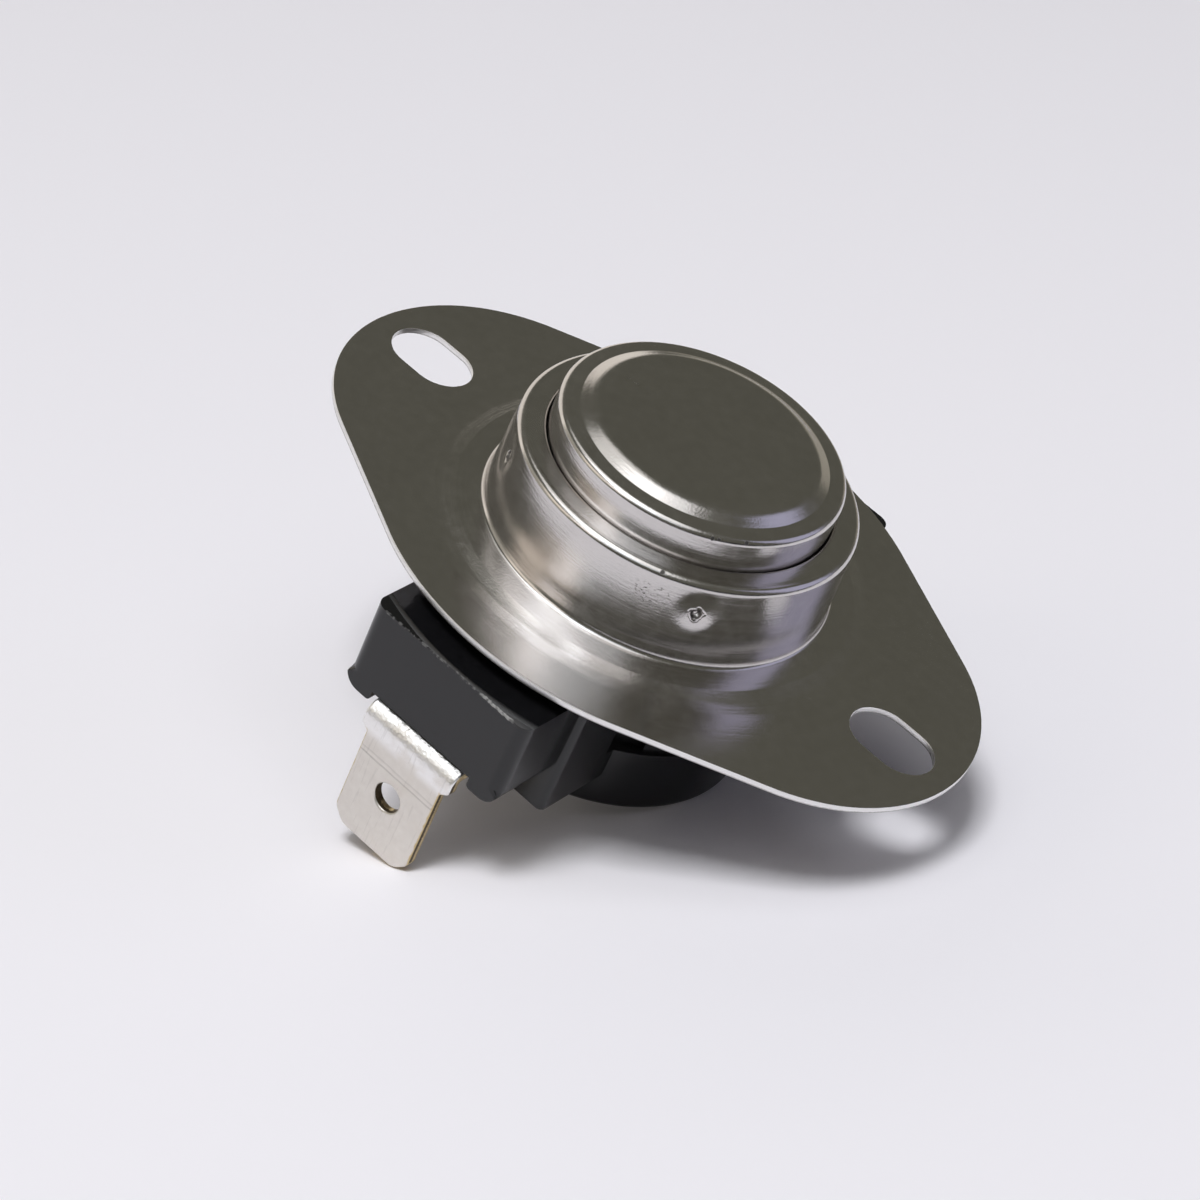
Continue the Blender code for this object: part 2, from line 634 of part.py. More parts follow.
def build_switch_arm(surface):
    """Formed leaf. Its origin is at the rivet, on the line it bends about."""
    half = ARM_WIDTH / 2
    drop = ARM_LOW_Z - ARM_ROOT_Z
    rows = [
        (ARM_TAIL, 0, half),
        (ARM_BEND_Y - ARM_PIVOT_Y, 0, half),
        (ARM_BEND_Y - ARM_PIVOT_Y + 1.1 * drop, drop, half),
        (-CONTACT_Y - ARM_PIVOT_Y - CONTACT_RADIUS, drop, half),
        (-CONTACT_Y - ARM_PIVOT_Y - CONTACT_RADIUS - FIT_GAP, drop, half - 2 * FIT_GAP),
    ]
    shape = bmesh.new()
    add_strip(shape, rows, ARM_THICKNESS)
    leaf = finish(shape, "spring_arm", surface)
    leaf.location = (0, ARM_PIVOT_Y, ARM_ROOT_Z)

    shape = bmesh.new()
    reach = 3 * ARM_THICKNESS
    places = (
        (0, 0, RIVET_RADIUS + FIT_GAP),
        (-CONTACT_Y - ARM_PIVOT_Y, drop, CONTACT_SHANK_RADIUS + CONTACT_GAP),
    )
    for y, z, radius in places:
        drill = [(0, -reach), (radius, -reach), (radius, reach), (0, reach)]
        add_revolved(shape, drill, SMALL_STEPS, Matrix.Translation((0, y, z)))
    holes = finish(shape, "spring_arm_holes")
    holes.parent = leaf
    boolean(leaf, holes, "DIFFERENCE")
    return leaf


def build_moving_contact(surface, arm):
    """Contact button on the arm's free end, carried by the arm."""
    shape = bmesh.new()
    half = ARM_THICKNESS / 2 + CONTACT_GAP / 2
    rivet_shape(
        shape, -half, half, CONTACT_SHANK_RADIUS,
        (1.6 * CONTACT_SHANK_RADIUS, CLINCH), (CONTACT_RADIUS, CONTACT_HEAD),
    )
    button = finish(shape, "moving_contact", surface)
    button.parent = arm
    button.location = (0, -CONTACT_Y - ARM_PIVOT_Y, ARM_LOW_Z - ARM_ROOT_Z)
    return button


def build_arm_rivet(surface):
    """Rivet that holds the arm under the rear terminal's inner pad."""
    shape = bmesh.new()
    low_face = ARM_ROOT_Z - ARM_THICKNESS / 2 - FIT_GAP
    rivet_shape(
        shape, low_face, -FOOT_DEPTH + CONTACT_GAP / 2, RIVET_RADIUS,
        (RIVET_HEAD_RADIUS, RIVET_HEAD), (RIVET_HEAD_RADIUS, RIVET_HEAD),
    )
    rivet = finish(shape, "arm_rivet", surface)
    rivet.location.y = ARM_PIVOT_Y
    return rivet


def main():
    clear_scene()
    plate_steel = make_material("plate_steel", (0.30, 0.29, 0.27), 0.32, 1.0)
    cap_steel = make_material("cap_steel", (0.33, 0.32, 0.30), 0.30, 1.0)
    black_moulding = make_material("black_moulding", (0.018, 0.018, 0.020), 0.45, 0.0)
    brown_moulding = make_material("brown_moulding", (0.13, 0.07, 0.035), 0.5, 0.0)
    tinned_brass = make_material("tinned_brass", (0.72, 0.70, 0.66), 0.35, 1.0)
    rivet_brass = make_material("rivet_brass", (0.62, 0.48, 0.25), 0.35, 1.0)
    disc_bimetal = make_material("disc_bimetal", (0.45, 0.43, 0.40), 0.3, 1.0)
    pin_ceramic = make_material("pin_ceramic", (0.75, 0.72, 0.66), 0.45, 0.0)
    leaf_copper = make_material("leaf_copper", (0.70, 0.42, 0.24), 0.3, 1.0)
    contact_silver = make_material("contact_silver", (0.80, 0.79, 0.76), 0.25, 1.0)

    build_flange(plate_steel)
    build_cap(cap_steel)
    build_disc(disc_bimetal)
    build_guide(brown_moulding)
    build_pin(pin_ceramic)
    build_housing(black_moulding)

    button_hole = CONTACT_SHANK_RADIUS + CONTACT_GAP
    build_terminal("front_terminal", tinned_brass, FRONT_PAD_Y, CONTACT_Y, button_hole)
    rear = build_terminal("rear_terminal", tinned_brass, REAR_PAD_Y, ARM_PIVOT_Y, RIVET_RADIUS + CONTACT_GAP)
    rear.rotation_euler.z = math.pi
    bpy.data.objects["rear_terminal_holes"].rotation_euler.z = math.pi
    build_terminal_rivet("front_terminal_rivet", rivet_brass, -1)
    build_terminal_rivet("rear_terminal_rivet", rivet_brass, 1)

    build_fixed_contact(contact_silver)
    arm = build_switch_arm(leaf_copper)
    build_moving_contact(contact_silver, arm)
    build_arm_rivet(rivet_brass)


main()
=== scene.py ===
# %% [markdown]
# # A disc thermostat on a slotted plate
# The real object is a small temperature switch: a drawn steel cap stands in the collar of a slotted steel
# plate, and a black moulding below it carries two push-on blades. Its CAD model is loaded here as a fixed
# frame. Pieces whose edges and dents show in a close view are modelled again over it, every surface gets a
# finish made of nodes, and lamps and a floor are set as in a small studio.

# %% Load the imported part
import math

import bpy
from mathutils import Matrix, Vector, noise


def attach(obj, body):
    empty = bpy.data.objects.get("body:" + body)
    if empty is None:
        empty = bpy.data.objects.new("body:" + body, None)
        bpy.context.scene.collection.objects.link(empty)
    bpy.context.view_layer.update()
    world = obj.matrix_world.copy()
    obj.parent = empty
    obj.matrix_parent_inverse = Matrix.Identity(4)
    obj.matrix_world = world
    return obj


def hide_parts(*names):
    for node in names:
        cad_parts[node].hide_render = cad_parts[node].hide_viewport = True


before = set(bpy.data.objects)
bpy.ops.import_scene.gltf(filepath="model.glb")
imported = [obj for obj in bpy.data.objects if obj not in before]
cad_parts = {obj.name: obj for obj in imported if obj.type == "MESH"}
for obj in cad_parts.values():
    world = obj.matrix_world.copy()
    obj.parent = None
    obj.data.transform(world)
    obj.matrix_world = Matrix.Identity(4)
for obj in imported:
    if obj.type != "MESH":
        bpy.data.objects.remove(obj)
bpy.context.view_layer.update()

MM = 0.001
print("nodes:", ", ".join(sorted(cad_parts)))

# %% [markdown]
# ## Camera
# The photograph was taken with a long lens from the front right, well above the plate. Its place was solved
# from the plate's outline, both slots and the round edges. Three directions and one point say it all: the
# camera's right side, the way it faces away from, and where it stands.

# %% Camera
CAMERA_PLACE = Vector((71.93, -165.83, 131.62)) * MM
FOCAL_LENGTH = 104.66
camera_right = Vector((0.7218, 0.6035, 0.3388)).normalized()
camera_back = Vector((0.3233, -0.7269, 0.6059))
camera_back = (camera_back - camera_back.project(camera_right)).normalized()
camera_up = camera_back.cross(camera_right)

lens = bpy.data.cameras.new("photo_camera")
lens.lens = FOCAL_LENGTH
lens.sensor_width = 36.0
lens.clip_start = 0.01
camera = bpy.data.objects.new("photo_camera", lens)
camera.matrix_world = Matrix.Translation(CAMERA_PLACE) @ Matrix(
    (camera_right, camera_up, camera_back)).transposed().to_4x4()
bpy.context.scene.collection.objects.link(camera)
bpy.context.scene.camera = camera
print("camera looks along", [round(c, 3) for c in -camera_back])

# %% [markdown]
# ## Modelling helpers
# Every new piece starts as a primitive and is shaped in edit mode. A turned or drawn piece starts as a line:
# a small plane is merged to one point, the point is extruded along the section, and its corners are rounded
# with a vertex bevel. The helpers below are the moves that come back again and again.

# %% Selecting, starting and applying
def deselect():
    """Nothing selected: an operator acts on all that is selected."""
    bpy.ops.object.select_all(action="DESELECT")
    bpy.context.view_layer.objects.active = None


def edit(piece):
    """Go into edit mode on one piece."""
    deselect()
    piece.select_set(True)
    bpy.context.view_layer.objects.active = piece
    bpy.ops.object.mode_set(mode="EDIT")


def leave():
    """Back to object mode, where the mesh can be read."""
    bpy.ops.object.mode_set(mode="OBJECT")


def settle(piece, name):
    """Name the piece and put its place into its mesh, as on a CAD node."""
    deselect()
    piece.select_set(True)
    bpy.context.view_layer.objects.active = piece
    bpy.ops.object.transform_apply(location=True, rotation=True, scale=True)
    piece.name = name
    piece.data.name = name
    return piece


def modify(piece, kind, **settings):
    """Add a modifier with these settings and apply it."""
    deselect()
    piece.select_set(True)
    bpy.context.view_layer.objects.active = piece
    step = piece.modifiers.new(kind.lower(), kind)
    for name, value in settings.items():
        setattr(step, name, value)
    bpy.ops.object.modifier_apply(modifier=step.name)


def pick(piece, mode, test):
    """In edit mode on the piece, select only the vertices, edges or faces whose middle passes the test."""
    edit(piece)
    bpy.ops.mesh.select_mode(type=mode)
    bpy.ops.mesh.select_all(action="DESELECT")
    leave()
    points = piece.data.vertices
    items = {"VERT": points, "EDGE": piece.data.edges, "FACE": piece.data.polygons}[mode]
    for item in items:
        if mode == "VERT":
            item.select = test(item.co, item.normal)
        elif mode == "EDGE":
            ends = [points[k].co for k in item.vertices]
            item.select = test((ends[0] + ends[1]) / 2, ends[1] - ends[0])
        else:
            item.select = test(item.center, item.normal)
    bpy.ops.object.mode_set(mode="EDIT")
    bpy.ops.mesh.select_mode(type=mode)


# %% Drawing a line, rounding its corners and turning it
def start_line(name, point):
    """One vertex: a small plane that is merged to its middle."""
    deselect()
    bpy.ops.mesh.primitive_plane_add(size=MM, location=point)
    line = settle(bpy.context.object, name)
    edit(line)
    bpy.ops.mesh.select_mode(type="VERT")
    bpy.ops.mesh.select_all(action="SELECT")
    bpy.ops.mesh.merge(type="CENTER")
    return line


def go(step):
    """Extrude the selected end by this much."""
    bpy.ops.mesh.extrude_vertices_move(TRANSFORM_OT_translate={"value": step})


def arc(middle, axis, angle, steps):
    """Extrude the selected end along an arc, by the right-hand rule. Spin itself turns the other way."""
    bpy.ops.mesh.spin(steps=steps, angle=-angle, center=Vector(middle) * MM, axis=axis)


STEP_ANGLE = math.radians(9)


def draw_section(name, corners):
    """Line through (radius, height) corners in mm. A third number rounds that corner with that radius."""
    points = [Vector((c[0], 0, c[1])) * MM for c in corners]
    line = start_line(name, points[0])
    for before, after in zip(points, points[1:]):
        go(after - before)
    leave()
    for k, corner in enumerate(corners):
        if len(corner) < 3:
            continue
        back = (points[k - 1] - points[k]).normalized()
        on = (points[(k + 1) % len(points)] - points[k]).normalized()
        bend = math.pi - back.angle(on)
        reach = corner[2] * MM * math.tan(bend / 2)
        steps = max(2, math.ceil(bend / STEP_ANGLE))
        here = points[k]
        pick(line, "VERT", lambda co, n, here=here: (co - here).length < 1e-7)
        bpy.ops.mesh.bevel(affect="VERTICES", offset=reach, segments=steps, profile=0.5)
        leave()
    return line


def turn_round(line, steps):
    """Spin the whole line about Z into a closed ring of faces that point outwards."""
    edit(line)
    bpy.ops.mesh.select_all(action="SELECT")
    bpy.ops.mesh.spin(steps=steps, angle=2 * math.pi, center=(0, 0, 0), axis=(0, 0, 1))
    bpy.ops.mesh.select_all(action="SELECT")
    bpy.ops.mesh.remove_doubles(threshold=1e-7)
    bpy.ops.mesh.normals_make_consistent(inside=False)
    leave()


def smooth(piece, degrees=32):
    """Smooth shading up to an angle, with the large faces deciding the normals next to their round edges."""
    deselect()
    piece.select_set(True)
    bpy.context.view_layer.objects.active = piece
    bpy.ops.object.shade_smooth_by_angle(angle=math.radians(degrees))
    modify(piece, "WEIGHTED_NORMAL", mode="FACE_AREA", weight=90, keep_sharp=True)


def cut(piece, tool, operation="DIFFERENCE"):
    """Cut, join or trim a piece by another, which is then deleted."""
    modify(piece, "BOOLEAN", object=tool, operation=operation, solver="EXACT")
    bpy.data.objects.remove(tool, do_unlink=True)


def report(piece):
    """Say what was made."""
    low, high = (Vector(f(v.co[k] for v in piece.data.vertices) for k in range(3)) for f in (min, max))
    size = " x ".join(f"{c / MM:.2f}" for c in high - low)
    print(f"{piece.name}: {len(piece.data.polygons)} faces, {size} mm")


# %% [markdown]
# ## The drawn plate and collar
# On the real object one steel sheet, under half a millimetre thick, was drawn up into a collar, then trimmed
# and slotted. A sheet is best modelled as one face with its thickness added last, so that it is even all
# over. First its section is drawn from the cap's hole outwards and turned about the axis: a lip that falls a
# little into a valley, a round shoulder, the collar's wall, and a low ring that steps down to the plate.

# %% The collar's section, turned
SHEET = 0.45
HOLE_RADIUS = 9.71
HOLE_EDGE = 0.26
COLLAR_TOP = 6.72
VALLEY_TOP = 6.585
SHOULDER_TOP = 6.63
COLLAR_TOP_RADIUS = 11.5
VALLEY_RADIUS = COLLAR_TOP_RADIUS - 0.55
COLLAR_FOOT_RADIUS = 11.77
RING_HEIGHT = 0.4
RING_CREST = COLLAR_FOOT_RADIUS + 0.35
RING_STEP = 13.6
RING_STEP_HEIGHT = 0.72 * RING_HEIGHT
RING_LOW = RING_STEP + 0.95
RING_LOW_HEIGHT = 0.19 * RING_HEIGHT
RING_END = 15.4
PLATE_START = 15.8
FINE_STEPS = 256
WALL_ROWS = 24

flange = draw_section("drawn_flange", [
    (HOLE_RADIUS, COLLAR_TOP),
    (VALLEY_RADIUS, VALLEY_TOP, 0.6),
    (COLLAR_TOP_RADIUS, SHOULDER_TOP, 0.47),
    (COLLAR_FOOT_RADIUS, RING_HEIGHT, 0.5),
    (RING_CREST, RING_HEIGHT, 0.4),
    (RING_STEP, RING_STEP_HEIGHT, 0.8),
    (RING_LOW, RING_LOW_HEIGHT, 2.5),
    (RING_END, 0, 3.0),
    (PLATE_START, 0),
])
pick(flange, "EDGE", lambda co, along: abs(along.z) > 4 * MM)
bpy.ops.mesh.subdivide(number_cuts=WALL_ROWS - 1)
leave()
turn_round(flange, FINE_STEPS)
report(flange)

# %% [markdown]
# The punch that locked the collar on the moulding left small dents in its wall. Each is a shallow saucer
# with a pit in it. The wall's faces are too large to follow a saucer, so the faces near each one are divided
# first, most finely where the pit will be, and then its points are pushed towards the axis.

# %% Four dents in the collar's wall
DENT_HEIGHT = 4.5
DENT_ANGLES = [44.4 + 90 * k for k in range(4)]
DENT_DEPTH = 0.26
DENT_REACH = 1.9
FINE_ZONES = ((2.1, 1), (0.9, 2))  # distance from a dent's middle in mm, and cuts


def dent_distance(point, angle):
    """Distance in mm along the wall from a dent's middle."""
    across = math.remainder(math.atan2(point.y, point.x) - math.radians(angle), 2 * math.pi)
    return math.hypot(across * math.hypot(point.x, point.y) / MM, point.z / MM - DENT_HEIGHT)


def nearest_dent(point):
    """Distance in mm from the nearest dent's middle."""
    return min(dent_distance(point, angle) for angle in DENT_ANGLES)


def on_wall(point):
    """True on the collar's wall and nowhere else."""
    return 1.0 < point.z / MM < 6.0 and 11.3 < math.hypot(point.x, point.y) / MM < 11.9


for reach, cuts in FINE_ZONES:
    pick(flange, "FACE", lambda co, n: on_wall(co) and nearest_dent(co) < reach)
    bpy.ops.mesh.subdivide(number_cuts=cuts)
    leave()
for point in flange.data.vertices:
    if not on_wall(point.co):
        continue
    depth = DENT_DEPTH * MM * max(0.0, 1 - (nearest_dent(point.co) / DENT_REACH) ** 2) ** 3
    radius = math.hypot(point.co.x, point.co.y)
    point.co.x -= depth * point.co.x / radius
    point.co.y -= depth * point.co.y / radius
report(flange)

# %% [markdown]
# The plate's outline is four arcs joined by short straight runs. A point that is spun about an arc's middle
# draws exactly such a line. The same moves draw the slots. Then the flat part is filled between the turned
# collar, the outline and the slots in one go.

# %% The plate's outline and slots
END_RADIUS = 12.56
END_MIDDLE = 12.33
WAIST_RADIUS = 19.8
WAIST_MIDDLE = 1.34
SLOT_MIDDLE = 20.25
SLOT_RADIUS = 2.21
SLOT_STRAIGHT = 0.81
END_STEPS = 60
WAIST_STEPS = 36
SLOT_STEPS = 28
UPWARDS = (0, 0, 1)


def close_line(line):
    """Join a line's last point to its first."""
    bpy.ops.mesh.select_all(action="SELECT")
    bpy.ops.mesh.remove_doubles(threshold=1e-6)
    leave()
    report(line)


def polar(middle, radius, angle):
    """Point in mm on a circle."""
    return Vector((middle[0] + radius * math.cos(angle), middle[1] + radius * math.sin(angle), 0))


between_middles = math.hypot(END_MIDDLE, WAIST_MIDDLE)
lean = math.atan2(WAIST_MIDDLE, END_MIDDLE) + math.acos((WAIST_RADIUS - END_RADIUS) / between_middles)
outline = start_line("outline", polar((END_MIDDLE, 0), END_RADIUS, -lean) * MM)
arcs = [
    ((END_MIDDLE, 0), END_RADIUS, lean, END_STEPS),
    ((0, -WAIST_MIDDLE), WAIST_RADIUS, math.pi - lean, WAIST_STEPS),
    ((-END_MIDDLE, 0), END_RADIUS, math.pi + lean, END_STEPS),
    ((0, WAIST_MIDDLE), WAIST_RADIUS, 2 * math.pi - lean, WAIST_STEPS),
]
at = -lean
for k, (middle, radius, end, steps) in enumerate(arcs):
    arc((*middle, 0), UPWARDS, end - at, steps)
    at = end
    after = arcs[(k + 1) % 4]
    go((polar(after[0], after[1], at) - polar(middle, radius, at)) * MM)
close_line(outline)

slots = []
for side in (-1, 1):
    middle = side * SLOT_MIDDLE
    slot = start_line("slot", Vector((middle + SLOT_STRAIGHT, -SLOT_RADIUS, 0)) * MM)
    arc((middle + SLOT_STRAIGHT, 0, 0), UPWARDS, math.pi, SLOT_STEPS)
    go((-2 * SLOT_STRAIGHT * MM, 0, 0))
    arc((middle - SLOT_STRAIGHT, 0, 0), UPWARDS, math.pi, SLOT_STEPS)
    go((2 * SLOT_STRAIGHT * MM, 0, 0))
    close_line(slot)
    slots.append(slot)

# %% Filling the plate and giving the sheet its thickness
def join(first, others):
    """Join pieces into the first."""
    deselect()
    for thing in [first, *others]:
        thing.select_set(True)
    bpy.context.view_layer.objects.active = first
    bpy.ops.object.join()


join(flange, [outline, *slots])
edge_radius = (PLATE_START - 0.05) * MM


def on_flat(co):
    """True at the plate's level, from the turned piece's outer edge outwards."""
    return abs(co.z) < 1e-6 and math.hypot(co.x, co.y) > edge_radius


def towards_axis(co, along):
    """True for an edge that points at the axis."""
    return abs(along.normalized().dot(Vector((co.x, co.y, 0)).normalized())) >= 0.9999


pick(flange, "EDGE", lambda co, along: on_flat(co) and not towards_axis(co, along))
bpy.ops.mesh.fill(use_beauty=True)
bpy.ops.mesh.select_all(action="SELECT")
bpy.ops.mesh.normals_make_consistent(inside=False)
leave()
pick(flange, "FACE", lambda co, n: on_flat(co))
bpy.ops.mesh.dissolve_limited(angle_limit=math.radians(1))
leave()
report(flange)
top_face = max(flange.data.polygons, key=lambda face: face.area)
if top_face.normal.z < 0:
    edit(flange)
    bpy.ops.mesh.select_all(action="SELECT")
    bpy.ops.mesh.flip_normals()
    leave()
modify(flange, "SOLIDIFY", thickness=SHEET * MM, offset=-1, use_even_offset=True, use_rim=True)
pick(flange, "EDGE", lambda co, along: abs(math.hypot(co.x, co.y) - HOLE_RADIUS * MM) < 2e-5
     and abs(co.z - COLLAR_TOP * MM) < 2e-5 and abs(along.z) < 1e-6)
bpy.ops.mesh.bevel(affect="EDGES", offset=HOLE_EDGE * MM, segments=6, profile=0.5)
leave()
modify(flange, "BEVEL", width=0.055 * MM, segments=2, limit_method="ANGLE", angle_limit=math.radians(60))

# %% [markdown]
# The punch's point went deeper than its shoulder and left a ragged pit in each saucer, a little below its
# middle. It is pushed into the outer face alone, after the sheet has its thickness, and a thin burr stands
# round it. Noise on the distance makes the edge ragged. This noise is the same on each run.

# %% A ragged pit in each dent
PIT_RADIUS = 0.36
PIT_DEPTH = 0.2
PIT_HEIGHT = DENT_HEIGHT - 0.3
PIT_MIDDLE_RADIUS = 11.3
PIT_REACH = 0.8
BURR_HEIGHT = 0.03
BURR_WIDTH = 0.07
outer_face = (COLLAR_TOP_RADIUS - SHEET - 0.1) * MM
pits = []
for angle in DENT_ANGLES:
    turn = math.radians(angle)
    outwards = Vector((math.cos(turn), math.sin(turn), 0))
    pits.append(outwards * PIT_MIDDLE_RADIUS * MM + Vector((0, 0, PIT_HEIGHT)) * MM)
for point in flange.data.vertices:
    co = point.co
    if math.hypot(co.x, co.y) < outer_face or not 3.5 < co.z / MM < 5.6:
        continue
    away = min((co - pit).length for pit in pits) / MM
    if away > PIT_REACH:
        continue
    ragged = away + 0.16 * noise.noise(co / MM * 3.1)
    depth = PIT_DEPTH * MM * (1 - min(1, max(0, (ragged / PIT_RADIUS - 0.45) / 0.55))) ** 0.7
    burr = BURR_HEIGHT * MM * math.exp(-((ragged - 1.25 * PIT_RADIUS) / BURR_WIDTH) ** 2)
    point.co -= Vector((co.x, co.y, 0)).normalized() * (depth - burr)
smooth(flange, 25)
report(flange)

# %% [markdown]
# ## The sensing cap
# A drawn cup with a raised round centre. It is a turned form all over, so one section and one spin make it.
# Its rims catch thin lines of light, so each corner of the section has its own small radius.

# %% The cap
CAP_SHEET = 0.4
CAP_TOP = 9.52
CAP_RADIUS = 9.62
CAP_FOOT = 5.9
cap = draw_section("drawn_cap", [
    (0, CAP_TOP),
    (7.44, CAP_TOP, 1.3),
    (8.36, 9.05, 0.2),
    (CAP_RADIUS, 8.93, 0.42),
    (CAP_RADIUS, CAP_FOOT, 0.2),
    (10.62, CAP_FOOT),
])
turn_round(cap, FINE_STEPS)
modify(cap, "SOLIDIFY", thickness=CAP_SHEET * MM, offset=-1, use_even_offset=True, use_rim=True)
smooth(cap, 40)
report(cap)

# %% [markdown]
# ## The black moulding
# The housing is a round cup with a cross bar under the plate and a terminal block at each end of the bar.
# Its parts are shaped and their edges rounded first, because a bevel after a union stumbles over the seams.
# Then they are joined and what the terminals and the switch need is cut out.

# %% Round body
BODY_RADIUS = 11.0
UPPER_RADIUS = 10.7
BODY_BOTTOM = -13.2
BODY_STEP = -8.3
BODY_TOP = 4.35
CAVITY_RADIUS = 9.0
CAVITY_FLOOR = -11.6
body = draw_section("moulded_housing", [
    (0, BODY_BOTTOM),
    (BODY_RADIUS, BODY_BOTTOM, 0.4),
    (BODY_RADIUS, BODY_STEP, 0.06),
    (UPPER_RADIUS, BODY_STEP),
    (UPPER_RADIUS, BODY_TOP),
    (CAVITY_RADIUS, BODY_TOP),
    (CAVITY_RADIUS, CAVITY_FLOOR),
    (0, CAVITY_FLOOR),
])
turn_round(body, FINE_STEPS)
report(body)


# %% Cross bar
def box(name, low, high):
    """A cube primitive between two corners in mm."""
    deselect()
    low, high = Vector(low) * MM, Vector(high) * MM
    bpy.ops.mesh.primitive_cube_add(size=1, location=(low + high) / 2, scale=high - low)
    return settle(bpy.context.object, name)


def round_edges(piece, width, steps, test):
    """Bevel the edges whose middle and direction pass the test."""
    pick(piece, "EDGE", test)
    bpy.ops.mesh.bevel(affect="EDGES", offset=width * MM, segments=steps, profile=0.5)
    leave()


def upright(along):
    """True for an edge that runs along Z."""
    return abs(along.normalized().z) > 0.9


BAR_HALF = 7.15
BAR_REACH = 14.65
bar = box("cross_bar", (-BAR_HALF, -BAR_REACH, -10.7), (BAR_HALF, BAR_REACH, -2.0))
round_edges(bar, 0.5, 5, lambda co, along: upright(along))
round_edges(bar, 0.12, 2, lambda co, along: not upright(along))

# %% Terminal blocks
BLOCK_HALF = 6.45
BLOCK_REACH = 20.0
BLOCK_TOP = -1.55
BLOCK_BOTTOM = -8.15
GROOVE_HALF = 4.2
GROOVE_ROOF = -7.4
block = box("block_beam", (-BLOCK_HALF, -BLOCK_REACH, BLOCK_BOTTOM), (BLOCK_HALF, BLOCK_REACH, BLOCK_TOP))
groove = box("groove", (-GROOVE_HALF, -21.0, -9.0), (GROOVE_HALF, 21.0, GROOVE_ROOF))
cut(block, groove)


def under_leg(co, along):
    """True for a long edge at the bottom of a leg."""
    return abs(along.normalized().y) > 0.9 and co.z < (BLOCK_BOTTOM + 0.05) * MM


def at_side(co):
    """True at the block's left or right side."""
    return abs(co.x) > (BLOCK_HALF - 0.05) * MM


round_edges(block, 1.2, 8, lambda co, along: under_leg(co, along) and at_side(co))
round_edges(block, 0.9, 8, lambda co, along: upright(along) and at_side(co))
round_edges(block, 0.3, 4, lambda co, along: under_leg(co, along)
            and abs(abs(co.x) - GROOVE_HALF * MM) < 1e-6)
modify(block, "BEVEL", width=0.1 * MM, segments=2, limit_method="ANGLE", angle_limit=math.radians(50))
report(block)

# %% Joining the moulding and cutting its openings
NOTCH_ANGLES = (46, -46, 134, 226)
RIVET_MIDDLE = 17.325
RIVET_HOLE = 1.1
housing = body
cut(housing, bar, "UNION")
cut(housing, block, "UNION")
cavity = draw_section("cavity", [
    (0, CAVITY_FLOOR), (CAVITY_RADIUS, CAVITY_FLOOR), (CAVITY_RADIUS, 6.0), (0, 6.0),
])
turn_round(cavity, FINE_STEPS)
cut(housing, cavity)
cut(housing, box("passage", (-2.7, -15.25, -8.5), (2.7, 15.25, -7.3)))
for angle in NOTCH_ANGLES:
    notch = box("notch", (-0.9, -1.25, -8.25), (0.9, 1.25, -2.675))
    turned_out = Matrix.Rotation(math.radians(angle), 4, "Z")
    notch.data.transform(turned_out @ Matrix.Translation((BODY_RADIUS * MM, 0, 0)))
    cut(housing, notch)
for side in (-1, 1):
    hole = draw_section("rivet_hole", [(0, -15), (RIVET_HOLE, -15), (RIVET_HOLE, -2.8), (0, -2.8)])
    turn_round(hole, 48)
    hole.data.transform(Matrix.Translation((0, side * RIVET_MIDDLE * MM, 0)))
    cut(housing, hole)
smooth(housing, 32)
report(housing)

# %% [markdown]
# ## The terminals
# Each terminal is one stamped strip: a foot under the block, a sharp bend and a blade. The strip's end face
# is extruded along its path, scaled where the strip gets wider or narrower, and spun round the bend.

# %% One terminal strip
FOOT_MIDDLE = -7.9
BLADE_MIDDLE = -20.3
BEND = 0.6
STRIP_THICKNESS = 0.8
FOOT_END = -2.5
FOOT_WIDTH = 5.0
SHOULDER_WIDTH = 7.5
BLADE_WIDTH = 6.35
TIP_SLOPE = 0.92
BLADE_TIP = -17.0
HOLE_HEIGHT = -12.7
BLADE_HOLE = 1.0


def push(step):
    """Extrude the selected face."""
    bpy.ops.mesh.extrude_region_move(TRANSFORM_OT_translate={"value": Vector(step) * MM})


def widen(factor):
    """Scale the selected face along X."""
    bpy.ops.transform.resize(value=(factor, 1, 1))


deselect()
strip_start = Vector((0, FOOT_END, FOOT_MIDDLE)) * MM
bpy.ops.mesh.primitive_plane_add(size=1, location=strip_start, rotation=(math.pi / 2, 0, 0))
strip = bpy.context.object
strip.scale = (FOOT_WIDTH * MM, STRIP_THICKNESS * MM, 1)
settle(strip, "front_blade_strip")
edit(strip)
bpy.ops.mesh.select_all(action="SELECT")
push((0, -12.55, 0))
push((0, -0.4, 0))
widen(SHOULDER_WIDTH / FOOT_WIDTH)
push((0, BLADE_MIDDLE + BEND + 15.45, 0))
arc((0, BLADE_MIDDLE + BEND, FOOT_MIDDLE - BEND), (1, 0, 0), math.pi / 2, 10)
push((0, 0, -9.1 - (FOOT_MIDDLE - BEND)))
push((0, 0, -0.4))
widen(BLADE_WIDTH / SHOULDER_WIDTH)
push((0, 0, BLADE_TIP + TIP_SLOPE + 9.5))
push((0, 0, -TIP_SLOPE))
widen((BLADE_WIDTH - 2 * TIP_SLOPE) / BLADE_WIDTH)
bpy.ops.mesh.select_all(action="SELECT")
bpy.ops.mesh.remove_doubles(threshold=1e-6)
bpy.ops.mesh.normals_make_consistent(inside=False)
leave()
report(strip)


def drill(piece, radius, place):
    """Cut a round hole through the strip."""
    deselect()
    bpy.ops.mesh.primitive_cylinder_add(vertices=64, radius=radius * MM, depth=3 * MM)
    bit = bpy.context.object
    bit.matrix_world = place
    cut(piece, settle(bit, "bit"))


